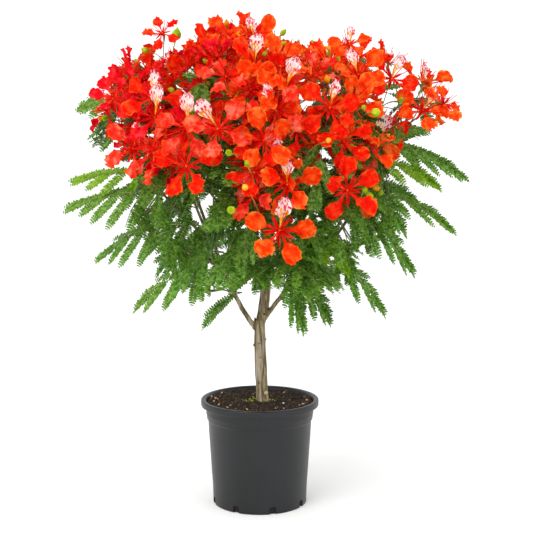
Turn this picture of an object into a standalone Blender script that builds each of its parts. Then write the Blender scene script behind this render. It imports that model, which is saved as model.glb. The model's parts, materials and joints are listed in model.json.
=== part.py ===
"""Royal poinciana in a nursery pot, as closed solids in metres with +Z up.

The middle of the pot's flat underside is the origin and the front is towards -Y.
The trunk forks into a left and a centre bough, and three more boughs leave the centre one.
Branches leave the boughs, and each ends where it enters the space of one mass of the crown.
A mass grows from one stem by a seeded rule.
"""

import math
import random

import bmesh
import bpy
from mathutils import Matrix, Vector
from mathutils.bvhtree import BVHTree

# Between neighbours that touch
GAP = 0.0003

# The pot: a rim 28 cm across on a wall that tapers to its base
POT_HEIGHT = 0.250
RIM_RADIUS = 0.140
RIM_CREST = 0.0020
LIP_DEPTH = 0.0155
LIP_WIDTH = 0.0100
POT_WALL = 0.0022
COLLAR_RADIUS = 0.1257
COLLAR_TOP_RADIUS = 0.1300
COLLAR_BOTTOM = 0.203
COLLAR_STEP = 0.0030
BASE_RADIUS = 0.1116
BASE_CHAMFER = 0.0020
POT_FLOOR = 0.0030
POT_SIDES = 28

# The drain slots round the foot of the wall
SLOT_COUNT = 8
SLOT_WIDTH = 0.015
SLOT_HEIGHT = 0.017
SLOT_DEPTH = 0.012
SLOT_TURN = math.radians(-29.4)

# The potting mix that fills it
SOIL_LEVEL = 0.240

# The trunk: height and radius from the foot to the fork, and its lean to the left
TRUNK_FOOT_X = 0.007
TRUNK_FORK_X = 0.000
FORK_HEIGHT = 0.430
FLARE_RADIUS = 0.0185
FOOT_RADIUS = 0.0140
FORK_RADIUS = 0.0130
FLARE_HEIGHT = 0.030
FLARE_SHARES = (0.0, 0.30, 0.65, 1.0)
TRUNK_SHARES = (0.35, 0.70, 1.0)

# The crown's outline: a full dome over a rounder bowl
CROWN_MIDDLE = Vector((0.022, 0.000, 0.780))
CROWN_HALF_WIDTH = 0.462
CROWN_HALF_DEPTH = 0.430
CROWN_RISE = 0.384
CROWN_DROP = 0.395
DOME_ROUNDNESS = 2.2
BOWL_ROUNDNESS = 2.0

# Boughs: parent, share of the parent's length, tip, lift at mid-length, root and tip radius
BOUGHS = {
    "bough_centre": ("trunk", 1.00, (0.012, 0.012, 0.612), 0.000, 0.0122, 0.0085),
    "bough_left": ("trunk", 0.93, (-0.106, -0.030, 0.620), -0.026, 0.0064, 0.0042),
    "bough_right": ("bough_centre", 0.08, (0.150, -0.012, 0.598), 0.008, 0.0060, 0.0040),
    "bough_back": ("bough_centre", 0.42, (0.025, 0.125, 0.640), -0.010, 0.0060, 0.0042),
    "bough_front": ("bough_centre", 0.80, (0.020, -0.095, 0.655), -0.006, 0.0055, 0.0042),
}

# Masses of blossom: parent bough, share of its length, middle of the mass, count
BLOSSOM = {
    "top": ("bough_centre", 1.00, (-0.060, 0.020, 1.040), 10),
    "top_right": ("bough_centre", 1.00, (0.170, 0.020, 1.010), 10),
    "top_back": ("bough_centre", 1.00, (0.060, 0.215, 0.965), 6),
    "upper_left": ("bough_left", 1.00, (-0.225, -0.010, 0.980), 11),
    "left": ("bough_left", 1.00, (-0.310, -0.060, 0.850), 10),
    "front_left": ("bough_left", 1.00, (-0.160, -0.215, 0.790), 10),
    "right": ("bough_right", 1.00, (0.340, -0.030, 0.910), 12),
    "front_right": ("bough_right", 1.00, (0.205, -0.220, 0.775), 10),
    "shoulder_left": ("bough_front", 1.00, (-0.075, -0.190, 0.955), 9),
    "shoulder_right": ("bough_front", 1.00, (0.165, -0.190, 0.945), 9),
    "middle": ("bough_front", 1.00, (0.035, -0.230, 0.850), 9),
    "front": ("bough_front", 0.97, (0.035, -0.265, 0.710), 8),
    "back": ("bough_back", 1.00, (0.030, 0.300, 0.790), 6),
    "back_left": ("bough_back", 0.60, (-0.215, 0.215, 0.850), 6),
    "back_right": ("bough_back", 1.00, (0.250, 0.210, 0.845), 6),
}

# Masses of foliage: the same, with the count of leaves
FOLIAGE = {
    "left": ("bough_left", 0.85, (-0.285, -0.030, 0.670), 6),
    "right": ("bough_right", 0.85, (0.310, -0.030, 0.685), 6),
    "front_left": ("bough_left", 0.65, (-0.150, -0.140, 0.535), 5),
    "front_right": ("bough_right", 0.65, (0.180, -0.140, 0.540), 4),
    "front": ("bough_front", 0.50, (0.020, -0.200, 0.555), 3),
    "back": ("bough_back", 0.80, (0.030, 0.230, 0.570), 4),
    "back_left": ("bough_back", 0.50, (-0.190, 0.170, 0.575), 4),
    "back_right": ("bough_right", 0.90, (0.220, 0.170, 0.575), 4),
}
BRANCH_ROOT_RADIUS = 0.0036
BRANCH_TIP_RADIUS = 0.0026
BRANCH_LIFT = -0.012
STEM_ROOT_RADIUS = 0.0034
STEM_TIP_RADIUS = 0.0030
LEAST_BRANCH = 0.045
LIMB_STEPS = 5
BRANCH_STEPS = 3
ROUTE_STEPS = 24
STEM_LEAD = 0.010

# A leaf: petiole and rachis in one arching line, with pinnae in pairs
LEAF_ROOTS = (0.05, 0.95)
LEAF_REACH = (0.12, 0.27)
LEAF_ARCH = (0.015, 0.040)
LEAF_STEPS = 3
LEAF_FAN = math.radians(80)
LEAF_SLOPE = (math.radians(-42), math.radians(24))
LEAF_INSET = 0.055
PINNA_PAIRS = 5
FIRST_PINNA = 0.30
PINNA_LENGTH = 0.098
PINNA_SWELL = (0.75, 0.30)
PINNA_SINK = 0.6
PINNA_WIDTH = 0.030
PINNA_THICKNESS = 0.0034
PINNA_HANG = math.radians(32)
PINNA_SPREAD = (math.radians(68), math.radians(26))
RACHIS_RADIUS = 0.0016
TANGENT_SHARE = 0.02

# A blossom: five broad petals in one shallow star, on a stalk
PETAL_HALF_ANGLE = math.radians(20)
NOTCH_RADIUS = 0.034
BLOSSOM_CUP = 0.010
BLOSSOM_RUFFLE = 0.007
BLOSSOM_THICKNESS = 0.006
BLOSSOM_SIZES = ((0.110, 0.072), (0.085, 0.070), (0.065, 0.062), (0.055, 0.052), (0.045, 0.045))
BLOSSOM_DEPTH = (0.010, 0.130)
STALK_RADIUS = (0.0013, 0.0022)
STALK_INSET = 0.008
STALK_LEAN = 0.35
HEAD_LENGTH = 0.040
HEAD_SHARES = (0.1, 1.0)
HUB_PULL = 0.6
FACING_JITTER = 0.25
ROLL_JITTER = 0.4
BLOSSOM_UP = Vector((0.0, 0.3, 1.0))

# What keeps the masses apart, and clear of the limbs
SPACE_MARGIN = 0.0004
LIMB_MARGIN = 0.0012
OUTLINE_MARGIN = 0.008
SEARCH_REACH = 0.18
BLOSSOM_TRIES = 2500
STALK_TRIES = 5
LEAF_TRIES = 300
EVEN_STEPS = (0.8192, 0.6710, 0.5497)
EVEN_START = 0.5
EVEN_SHIFT = 9
SEED = 10

# Fineness of the work
UP = Vector((0.0, 0.0, 1.0))
TWIG_ACROSS = Vector((0.31, 0.17, 0.94))
ENTRY_STEPS = 200
ENTRY_MARGIN = 0.006
HALVINGS = 20
TRUNK_FINENESS = 4
BOUGH_FINENESS = 2
BRANCH_FINENESS = 1
SHARP_ANGLE = math.radians(50)
WELD = 1e-6


def material(name, colour, roughness):
    found = bpy.data.materials.new(name)
    found.use_nodes = True
    shader = found.node_tree.nodes["Principled BSDF"]
    shader.inputs["Base Color"].default_value = (*colour, 1.0)
    shader.inputs["Roughness"].default_value = roughness
    shader.inputs["Metallic"].default_value = 0.0
    return found


def new_collection(name):
    made = bpy.data.collections.new(name)
    bpy.context.scene.collection.children.link(made)
    return made


def add(name, mesh, collection, finish=None):
    made = bpy.data.objects.new(name, mesh)
    collection.objects.link(made)
    if finish is not None:
        mesh.materials.clear()
        mesh.materials.append(finish)
    return made


def discard(collection):
    """Removes a collection of helpers and all that it holds."""
    for helper in list(collection.objects):
        bpy.data.objects.remove(helper)
    bpy.data.collections.remove(collection)


def evaluated_mesh(made):
    bpy.context.view_layer.update()
    depsgraph = bpy.context.evaluated_depsgraph_get()
    return bpy.data.meshes.new_from_object(made.evaluated_get(depsgraph))


def islands(bm):
    """The mesh's separate shells, each a list of faces."""
    seen = set()
    found = []
    for first in bm.faces:
        if first in seen:
            continue
        seen.add(first)
        shell = [first]
        for face in shell:
            for edge in face.edges:
                for other in edge.link_faces:
                    if other not in seen:
                        seen.add(other)
                        shell.append(other)
        found.append(shell)
    return found


def shell_volume(shell):
    total = 0.0
    for face in shell:
        corners = [v.co for v in face.verts]
        for i in range(1, len(corners) - 1):
            total += corners[0].dot(corners[i].cross(corners[i + 1])) / 6
    return total


def drop(bm, faces):
    if faces:
        bmesh.ops.delete(bm, geom=faces, context="FACES")


def keep_main_body(mesh):
    """Drops loose scraps, doubled slivers and the walls of sealed hollows: one closed body."""
    bm = bmesh.new()
    bm.from_mesh(mesh)
    bmesh.ops.triangulate(bm, faces=bm.faces[:])
    same_corners = {}
    for face in bm.faces:
        same_corners.setdefault(frozenset(face.verts), []).append(face)
    drop(bm, [face for pair in same_corners.values() if len(pair) == 2 for face in pair])
    shells = islands(bm)
    main = max(shells, key=shell_volume)
    drop(bm, [face for shell in shells if shell is not main for face in shell])
    bm.to_mesh(mesh)
    bm.free()
    return mesh


def combined(body, operation, helpers):
    """The body joined with, or cut by, all that the helper collection holds, as a plain mesh."""
    change = body.modifiers.new("combine", "BOOLEAN")
    change.operation = operation
    change.operand_type = "COLLECTION"
    change.collection = helpers
    mesh = evaluated_mesh(body)
    body.modifiers.clear()
    return keep_main_body(mesh)


def turned(name, profile, collection, finish):
    """A solid of revolution round Z, from points (radius, height) that run down its outside."""
    mesh = bpy.data.meshes.new(name)
    points = [(radius, 0.0, height) for radius, height in profile]
    mesh.from_pydata(points, [(i, i + 1) for i in range(len(points) - 1)], [])
    made = add(name, mesh, collection, finish)
    spin = made.modifiers.new("turn", "SCREW")
    spin.steps = POT_SIDES
    spin.render_steps = POT_SIDES
    spin.use_merge_vertices = True
    spin.merge_threshold = 0.0001
    return made


def collar_profile(inset):
    """The wall's side from under the rim down to the base, moved in by the inset."""
    return [
        (COLLAR_TOP_RADIUS - inset, POT_HEIGHT - RIM_CREST - POT_WALL),
        (COLLAR_RADIUS - inset, COLLAR_BOTTOM),
        (COLLAR_RADIUS - COLLAR_STEP - inset, COLLAR_BOTTOM - COLLAR_STEP),
    ]


def pot_profile():
    inner = collar_profile(POT_WALL)
    outer = collar_profile(0.0)
    lip_inner = RIM_RADIUS - POT_WALL
    crest_inner = RIM_RADIUS - LIP_WIDTH
    return [
        (0.0, POT_FLOOR),
        (BASE_RADIUS - POT_WALL, POT_FLOOR),
        *reversed(inner),
        (crest_inner, POT_HEIGHT - RIM_CREST / 2),
        (RIM_RADIUS - RIM_CREST, POT_HEIGHT),
        (RIM_RADIUS, POT_HEIGHT - 2 * RIM_CREST),
        (RIM_RADIUS - RIM_CREST / 4, POT_HEIGHT - LIP_DEPTH),
        (lip_inner - RIM_CREST / 4, POT_HEIGHT - LIP_DEPTH),
        (lip_inner - RIM_CREST / 4, POT_HEIGHT - RIM_CREST - POT_WALL),
        *outer,
        (BASE_RADIUS, BASE_CHAMFER),
        (BASE_RADIUS - BASE_CHAMFER, 0.0),
        (0.0, 0.0),
    ]


def drain_slots(cutters):
    """A box through the foot of the wall at each slot."""
    for i in range(SLOT_COUNT):
        bm = bmesh.new()
        bmesh.ops.create_cube(bm, size=1.0)
        mesh = bpy.data.meshes.new(f"slot_{i}")
        size = (SLOT_WIDTH, SLOT_DEPTH, 2 * SLOT_HEIGHT)
        bmesh.ops.scale(bm, vec=size, verts=bm.verts[:])
        bm.to_mesh(mesh)
        bm.free()
        slot = add(f"slot_{i}", mesh, cutters)
        angle = SLOT_TURN + 2 * math.pi * i / SLOT_COUNT
        slot.location = Vector((math.sin(angle), -math.cos(angle), 0.0)) * BASE_RADIUS
        slot.rotation_euler = (0.0, 0.0, angle)
        slot.hide_render = True
        slot.display_type = "WIRE"


def build_pot(parts, cutters, finish):
    pot = turned("pot", pot_profile(), parts, finish)
    drain_slots(cutters)
    cut = pot.modifiers.new("drain slots", "BOOLEAN")
    cut.operation = "DIFFERENCE"
    cut.operand_type = "COLLECTION"
    cut.collection = cutters


def build_soil(parts, finish):
    """The mix fills the pot, a hair clear of its wall and floor."""
    wall = collar_profile(POT_WALL + GAP)
    rise = (SOIL_LEVEL - wall[1][1]) / (wall[0][1] - wall[1][1])
    level_radius = mix(wall[1][0], wall[0][0], rise)
    profile = [
        (0.0, SOIL_LEVEL),
        (level_radius, SOIL_LEVEL),
        *wall[1:],
        (BASE_RADIUS - POT_WALL - 2 * GAP, POT_FLOOR + GAP),
        (0.0, POT_FLOOR + GAP),
    ]
    turned("soil", profile, parts, finish)


class Limb:
    """A tapering limb along a line of points, each with its radius."""

    def __init__(self, points, radii=(), fineness=1):
        self.points = points
        self.radii = radii
        self.fineness = fineness
        self.trees = {}

    def at(self, share):
        """The point at a share of the limb's length."""
        place = min(max(share, 0.0), 1.0) * (len(self.points) - 1)
        i = min(int(place), len(self.points) - 2)
        return self.points[i].lerp(self.points[i + 1], place - i)

    def stretch(self, start, end, steps):
        """The line between two shares of the limb."""
        return [self.at(start + (end - start) * i / steps) for i in range(steps + 1)]

    def end_direction(self):
        return (self.points[-1] - self.points[-2]).normalized()


def mix(low, high, share):
    return low * (1 - share) + high * share


def arc(start, end, lift, steps):
    """A line from start to end that rises by the lift at its middle."""
    control = (start + end) / 2 + Vector((0.0, 0.0, 2 * lift))
    line = []
    for i in range(steps + 1):
        t = i / steps
        line.append(start * (1 - t) ** 2 + control * 2 * t * (1 - t) + end * t**2)
    return line


def tapered(points, root_radius, tip_radius, fineness):
    last = len(points) - 1
    radii = [mix(root_radius, tip_radius, i / last) for i in range(last + 1)]
    return Limb(points, radii, fineness)


def trunk_limb():
    """The trunk from its flat foot on the soil, through the root flare, to the fork."""
    foot = SOIL_LEVEL + GAP
    heights = [foot + FLARE_HEIGHT * share for share in FLARE_SHARES]
    radii = [FOOT_RADIUS + (FLARE_RADIUS - FOOT_RADIUS) * (1 - s) ** 2 for s in FLARE_SHARES]
    for share in TRUNK_SHARES:
        heights.append(mix(foot + FLARE_HEIGHT, FORK_HEIGHT, share))
        radii.append(mix(FOOT_RADIUS, FORK_RADIUS, share))
    line = []
    for z in heights:
        lean = math.sin((z - foot) / (FORK_HEIGHT - foot) * math.pi / 2)
        line.append(Vector((mix(TRUNK_FOOT_X, TRUNK_FORK_X, lean), 0.0, z)))
    line[0].xy = line[1].xy
    return Limb(line, radii, TRUNK_FINENESS)


def limb_mesh(name, limb, extra=0.0):
    """The limb as a closed mesh, or a copy that is thicker and longer by the extra."""
    curve = bpy.data.curves.new(name, "CURVE")
    curve.dimensions = "3D"
    curve.bevel_depth = 1.0
    curve.bevel_resolution = limb.fineness
    curve.use_fill_caps = True
    spline = curve.splines.new("POLY")
    spline.points.add(len(limb.points) - 1)
    points = list(limb.points)
    points[-1] = points[-1] + limb.end_direction() * extra
    for target, point, radius in zip(spline.points, points, limb.radii):
        target.co = (*point, 1.0)
        target.radius = radius + extra
    holder = bpy.data.objects.new(name, curve)
    bpy.context.scene.collection.objects.link(holder)
    mesh = evaluated_mesh(holder)
    bpy.data.objects.remove(holder)
    bpy.data.curves.remove(curve)
    bm = bmesh.new()
    bm.from_mesh(mesh)
    bmesh.ops.remove_doubles(bm, verts=bm.verts[:], dist=WELD)
    bmesh.ops.recalc_face_normals(bm, faces=bm.faces[:])
    bm.to_mesh(mesh)
    bm.free()
    return mesh


def limb_tree(limb, extra):
    """The limb, thicker by the extra, as a tree of faces that others can be tested against."""
    if extra not in limb.trees:
        mesh = limb_mesh("measure", limb, extra)
        corners = [v.co.copy() for v in mesh.vertices]
        faces = [tuple(p.vertices) for p in mesh.polygons]
        limb.trees[extra] = BVHTree.FromPolygons(corners, faces)
        bpy.data.meshes.remove(mesh)
    return limb.trees[extra]


def add_limb(name, limb, others, parts, finish):
    """The limb as a part, cut back so that it stays the gap clear of the limbs it touches."""
    own = limb_tree(limb, LIMB_MARGIN)
    helpers = new_collection("limb_cutters")
    for i, other in enumerate(others):
        if own.overlap(limb_tree(other, LIMB_MARGIN)):
            add(f"cutter_{i}", limb_mesh(f"cutter_{i}", other, GAP), helpers)
    made = add(name, limb_mesh(name, limb), parts, finish)
    if helpers.objects:
        made.data = combined(made, "DIFFERENCE", helpers)
        made.data.materials.clear()
        made.data.materials.append(finish)
    discard(helpers)
    made.data.shade_smooth()
    made.data.set_sharp_from_angle(angle=SHARP_ANGLE)


def in_crown(point, spare=0.0):
    """Whether the point lies inside the crown's outline."""
    away = point - CROWN_MIDDLE
    across = math.hypot(
        away.x / (CROWN_HALF_WIDTH + spare),
        away.y / (CROWN_HALF_DEPTH + spare),
    )
    if away.z > 0:
        return across**DOME_ROUNDNESS + (away.z / (CROWN_RISE + spare)) ** DOME_ROUNDNESS < 1
    return across**BOWL_ROUNDNESS + (-away.z / (CROWN_DROP + spare)) ** BOWL_ROUNDNESS < 1


def way_to_outline(start, way):
    """How far one can go from start along way before leaving the crown."""
    low, high = 0.0, 2 * CROWN_HALF_WIDTH
    for _ in range(HALVINGS):
        middle = (low + high) / 2
        if in_crown(start + way * middle):
            low = middle
        else:
            high = middle
    return low


def in_space(point, name, hubs, margin=SPACE_MARGIN):
    """Whether the point is nearer to this mass's hub than to any other, with a margin."""
    own = (point - hubs[name]).length_squared
    for other, hub in hubs.items():
        apart = (hub - hubs[name]).length
        if other != name and (point - hub).length_squared - own < 2 * apart * margin:
            return False
    return True


def entry_share(line, name, hubs):
    """The share of a branch's line at which it enters its mass's space for good."""
    limb = Limb(line)
    length = sum((b - a).length for a, b in zip(line, line[1:]))
    share = LEAST_BRANCH / length
    for i in range(ENTRY_STEPS):
        if not in_space(limb.at(i / ENTRY_STEPS), name, hubs, ENTRY_MARGIN):
            share = max(share, (i + 1) / ENTRY_STEPS)
    return share


def frame_of(along, across):
    """A turned frame whose Z runs along and whose X lies across."""
    z = along.normalized()
    x = (across - z * across.dot(z)).normalized()
    y = z.cross(x)
    return Matrix((x, y, z)).transposed()


def twig_solid(points, root_radius, tip_radius):
    """A three-sided tapering twig along a line of points."""
    bm = bmesh.new()
    last = len(points) - 1
    rings = []
    for i, point in enumerate(points):
        along = points[min(i + 1, last)] - points[max(i - 1, 0)]
        place = frame_of(along, TWIG_ACROSS)
        radius = mix(root_radius, tip_radius, i / last)
        ring = []
        for side in range(3):
            turn = 2 * math.pi * side / 3
            offset = place @ Vector((math.cos(turn), math.sin(turn), 0.0)) * radius
            ring.append(bm.verts.new(point + offset))
        rings.append(ring)
    for a, b in zip(rings, rings[1:]):
        for side in range(3):
            following = (side + 1) % 3
            bm.faces.new((a[side], a[following], b[following], b[side]))
    bm.faces.new(reversed(rings[0]))
    bm.faces.new(rings[-1])
    return bm


def blade_solid(root, tip, across):
    """A pinna: a thin blade of eight faces, widest at its middle."""
    size = Matrix.Diagonal((PINNA_WIDTH / 2, PINNA_THICKNESS / 2, (tip - root).length / 2, 1.0))
    place = frame_of(tip - root, across).to_4x4()
    place.translation = (root + tip) / 2
    bm = bmesh.new()
    bmesh.ops.create_uvsphere(bm, u_segments=4, v_segments=2, radius=1.0, matrix=place @ size)
    return bm


def blossom_rim(radius, rng):
    """The edge of five petals: two corners to a petal and a notch between, cupped and ruffled."""
    rim = []
    for petal in range(5):
        heading = 2 * math.pi * petal / 5 + math.pi / 2
        for turn, reach in (
            (-PETAL_HALF_ANGLE, radius),
            (PETAL_HALF_ANGLE, radius),
            (math.pi / 5, NOTCH_RADIUS),
        ):
            x = math.cos(heading + turn) * reach
            y = math.sin(heading + turn) * reach
            z = BLOSSOM_CUP * reach / radius + rng.uniform(-1, 1) * BLOSSOM_RUFFLE
            rim.append(Vector((x, y, z)))
    return rim


def blossom_solid(rim, place, root=None):
    """A shallow star with the rim. Its back is a point, or a stalk that runs to the root."""
    bm = bmesh.new()
    corners = [bm.verts.new(place @ corner) for corner in rim]
    front = bm.verts.new(place @ Vector((0.0, 0.0, BLOSSOM_THICKNESS / 2)))
    following = corners[1:] + corners[:1]
    for a, b in zip(corners, following):
        bm.faces.new((a, b, front))
    if root is None:
        back = bm.verts.new(place @ Vector((0.0, 0.0, -BLOSSOM_THICKNESS / 2)))
        for a, b in zip(corners, following):
            bm.faces.new((b, a, back))
        return bm
    ring = []
    foot = []
    across = frame_of(place.translation - root, place.to_3x3().col[0])
    for side in range(3):
        turn = 2 * math.pi * side / 3
        way = Vector((math.cos(turn), math.sin(turn), 0.0))
        seat = way * STALK_RADIUS[1] - Vector((0.0, 0.0, BLOSSOM_THICKNESS / 2))
        ring.append(bm.verts.new(place @ seat))
        foot.append(bm.verts.new(root + across @ way * STALK_RADIUS[0]))
    sides = []
    for a, b in zip(rim, rim[1:] + rim[:1]):
        turn = math.atan2(a.y + b.y, a.x + b.x)
        sides.append(round(turn / (2 * math.pi / 3)) % 3)
    for a, b, side, beside in zip(corners, following, sides, sides[1:] + sides[:1]):
        bm.faces.new((b, a, ring[side]))
        if beside != side:
            bm.faces.new((b, ring[side], ring[beside]))
    for side in range(3):
        beside = (side + 1) % 3
        bm.faces.new((ring[side], foot[side], foot[beside], ring[beside]))
    bm.faces.new(foot)
    bmesh.ops.recalc_face_normals(bm, faces=bm.faces[:])
    return bm


class Mass:
    """One mass of the crown: its stem, and what its seeded rule grows from it."""

    def __init__(self, name, stem, hubs, limb_trees):
        self.name = name
        self.stem = stem
        self.hubs = hubs
        self.hub = hubs[name]
        self.limb_trees = limb_trees
        self.own_trees = []
        self.solids = [twig_solid(stem.points, STEM_ROOT_RADIUS, STEM_TIP_RADIUS)]
        self.rng = random.Random(f"{SEED} {name}")
        out = self.hub - CROWN_MIDDLE
        self.heading = math.atan2(out.y, out.x)
        self.blossom_middles = []

    def fits(self, bm):
        """Whether a solid keeps to the mass's space and the crown, and off what is there."""
        for vert in bm.verts:
            if not in_crown(vert.co, OUTLINE_MARGIN) or not in_space(vert.co, self.name, self.hubs):
                return False
        tree = BVHTree.FromBMesh(bm)
        return not any(tree.overlap(other) for other in self.limb_trees + self.own_trees)

    def keep(self, solids):
        self.solids.extend(solids)
        self.own_trees.extend(BVHTree.FromBMesh(bm) for bm in solids)

    def leaf_blades(self, rachis, side):
        """The pinnae of a leaf, in pairs, that have room."""
        blades = []
        for pair in range(PINNA_PAIRS):
            share = mix(FIRST_PINNA, 1.0, pair / (PINNA_PAIRS - 0.5))
            foot = rachis.at(share)
            ahead, behind = rachis.at(share + TANGENT_SHARE), rachis.at(share - TANGENT_SHARE)
            forward = (ahead - behind).normalized()
            spread = mix(*PINNA_SPREAD, share)
            least, swell = PINNA_SWELL
            length = PINNA_LENGTH * (least + swell * math.sin(math.pi * share))
            for way in (-1, 1):
                hang = side * way * math.cos(PINNA_HANG) - UP * math.sin(PINNA_HANG)
                direction = forward * math.cos(spread) + hang * math.sin(spread)
                root = foot - direction * PINNA_SINK * RACHIS_RADIUS
                blade = blade_solid(root, foot + direction * length, forward)
                if self.fits(blade):
                    blades.append(blade)
                else:
                    blade.free()
        return blades

    def grow_leaf(self, root, tip, arch):
        """One leaf from root to tip, if its rachis and half of its pinnae fit."""
        line = arc(root, tip, arch, LEAF_STEPS)
        twig = twig_solid(line, RACHIS_RADIUS, RACHIS_RADIUS)
        side = (tip - root).cross(UP).normalized()
        blades = self.leaf_blades(Limb(line), side) if self.fits(twig) else []
        if len(blades) < PINNA_PAIRS + 1:
            for bm in [twig, *blades]:
                bm.free()
            return False
        self.keep([twig, *blades])
        return True

    def grow_leaves(self, count):
        """Leaves up the stem that fan out to the crown's outline."""
        grown = 0
        for attempt in range(LEAF_TRIES):
            if grown == count:
                break
            along, turn, rise = [(attempt * step + EVEN_START) % 1.0 for step in EVEN_STEPS]
            root = self.stem.at(mix(*LEAF_ROOTS, along))
            heading = self.heading + mix(-LEAF_FAN, LEAF_FAN, turn)
            slope = mix(*LEAF_SLOPE, rise)
            way = Vector((math.cos(heading), math.sin(heading), math.tan(slope))).normalized()
            reach = min(way_to_outline(root, way) - LEAF_INSET, LEAF_REACH[1])
            arch = self.rng.uniform(*LEAF_ARCH)
            if reach > LEAF_REACH[0]:
                grown += self.grow_leaf(root, root + way * reach, arch)

    def grow_blossom(self, middle, radius):
        """One blossom on its stalk from the head of the stem, if both fit."""
        jitter = Vector([self.rng.uniform(-FACING_JITTER, FACING_JITTER) for _ in range(3)])
        out = (middle - CROWN_MIDDLE).normalized() + (middle - self.hub).normalized() * HUB_PULL
        facing = (out + jitter).normalized()
        roll = self.rng.uniform(-ROLL_JITTER, ROLL_JITTER)
        up = Matrix.Rotation(roll, 3, facing) @ BLOSSOM_UP
        place = frame_of(facing, up.cross(facing)).to_4x4()
        place.translation = middle
        rim = blossom_rim(radius, self.rng)
        star = blossom_solid(rim, place)
        if self.fits(star):
            for _ in range(STALK_TRIES):
                head = self.rng.uniform(*HEAD_SHARES) * HEAD_LENGTH
                root = self.stem.points[-1] - self.stem.end_direction() * head
                way = (middle - root).normalized()
                stalk = twig_solid([root, middle - way * STALK_INSET], *STALK_RADIUS)
                clear = way.dot(facing) > STALK_LEAN and self.fits(stalk)
                stalk.free()
                if clear:
                    self.own_trees.append(BVHTree.FromBMesh(star))
                    self.solids.append(blossom_solid(rim, place, root))
                    self.blossom_middles.append(middle)
                    break
        star.free()

    def has_room(self, middle, spacing):
        """Whether a blossom's middle lies in the outer layer and apart from its neighbours."""
        outer, inner = BLOSSOM_DEPTH
        return (
            in_crown(middle, -outer)
            and not in_crown(middle, -inner)
            and in_space(middle, self.name, self.hubs)
            and all((middle - m).length > spacing for m in self.blossom_middles)
        )

    def grow_blossoms(self, count):
        """Blossoms all through the mass's share of the outer layer, the widest apart first."""
        for spacing, radius in BLOSSOM_SIZES:
            for attempt in range(BLOSSOM_TRIES):
                start = radius * EVEN_SHIFT
                shares = [(attempt * step + start) % 1.0 * 2 - 1 for step in EVEN_STEPS]
                middle = self.hub + Vector(shares) * SEARCH_REACH
                if len(self.blossom_middles) < count and self.has_room(middle, spacing):
                    self.grow_blossom(middle, radius)

    def union(self, parts, finish):
        """All the solids of the mass joined into one body."""
        helpers = new_collection("mass_pieces")
        for i, bm in enumerate(self.solids):
            mesh = bpy.data.meshes.new(f"piece_{i}")
            bm.to_mesh(mesh)
            bm.free()
            add(f"piece_{i}", mesh, helpers if i else parts)
        body = parts.objects["piece_0"]
        body.name = self.name
        body.data = combined(body, "UNION", helpers)
        body.data.materials.clear()
        body.data.materials.append(finish)
        discard(helpers)


def grow_limbs(masses, hubs, parts, finishes):
    """Trunk, boughs and branches as parts. Gives every limb, and the stem of every mass."""
    limbs = {"trunk": trunk_limb()}
    add_limb("trunk", limbs["trunk"], [], parts, finishes["bark"])
    for name, (parent, share, tip, lift, root_radius, tip_radius) in BOUGHS.items():
        start = limbs[parent].at(share)
        line = arc(start, Vector(tip), lift, LIMB_STEPS)
        limb = tapered(line, root_radius, tip_radius, BOUGH_FINENESS)
        if share == 1.0:
            limb.points[0] = start + UP * GAP
        add_limb(name, limb, list(limbs.values()), parts, finishes["bark"])
        limbs[name] = limb
    stems = {}
    for name, (parent, share, _, _) in masses.items():
        line = arc(limbs[parent].at(share), hubs[name], BRANCH_LIFT, ROUTE_STEPS)
        entry = entry_share(line, name, hubs)
        whole = Limb(line)
        branch_line = whole.stretch(0.0, entry, BRANCH_STEPS)
        branch = tapered(branch_line, BRANCH_ROOT_RADIUS, BRANCH_TIP_RADIUS, BRANCH_FINENESS)
        branch_name = f"branch_to_{name}"
        add_limb(branch_name, branch, list(limbs.values()), parts, finishes["young bark"])
        limbs[branch_name] = branch
        start = branch.points[-1] + branch.end_direction() * GAP
        lead = start + branch.end_direction() * STEM_LEAD
        stem_line = [start, lead, *whole.stretch((1 + entry) / 2, 1.0, 1)]
        stems[name] = Limb(stem_line)
    return limbs, stems


def grow_crown(parts, finishes):
    masses = {f"blossom_{name}": row for name, row in BLOSSOM.items()}
    masses.update({f"foliage_{name}": row for name, row in FOLIAGE.items()})
    hubs = {name: Vector(row[2]) for name, row in masses.items()}
    limbs, stems = grow_limbs(masses, hubs, parts, finishes)
    for name, (_, _, _, count) in masses.items():
        own = limbs[f"branch_to_{name}"]
        trees = [limb_tree(limb, LIMB_MARGIN) for limb in limbs.values() if limb is not own]
        mass = Mass(name, stems[name], hubs, [*trees, limb_tree(own, 0.0)])
        if name.startswith("blossom"):
            mass.grow_blossoms(count)
            mass.union(parts, finishes["blossom"])
        else:
            mass.grow_leaves(count)
            mass.union(parts, finishes["foliage"])


def main():
    for old in list(bpy.data.objects):
        bpy.data.objects.remove(old)
    parts = new_collection("royal_poinciana")
    cutters = new_collection("cutters")
    finishes = {
        "plastic": material("pot_plastic", (0.035, 0.037, 0.040), 0.45),
        "soil": material("potting_mix", (0.040, 0.024, 0.015), 0.95),
        "bark": material("bark", (0.24, 0.19, 0.12), 0.85),
        "young bark": material("young_bark", (0.22, 0.22, 0.11), 0.75),
        "foliage": material("foliage", (0.06, 0.16, 0.03), 0.55),
        "blossom": material("blossom", (0.75, 0.05, 0.01), 0.55),
    }
    grow_crown(parts, finishes)
    build_pot(parts, cutters, finishes["plastic"])
    build_soil(parts, finishes["soil"])


main()
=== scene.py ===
"""Royal poinciana in a nursery pot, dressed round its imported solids, in metres with +Z up.

The crown grows by the rule of its solids: the same boughs, branches and hubs of masses, and
the same outline. Here each mass carries finer twigs, racemes of blossom and feathered leaves.
"""

import json
import math
import random
from contextlib import contextmanager

import bmesh
import bpy
import numpy as np
from mathutils import Matrix, Vector, noise

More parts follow.
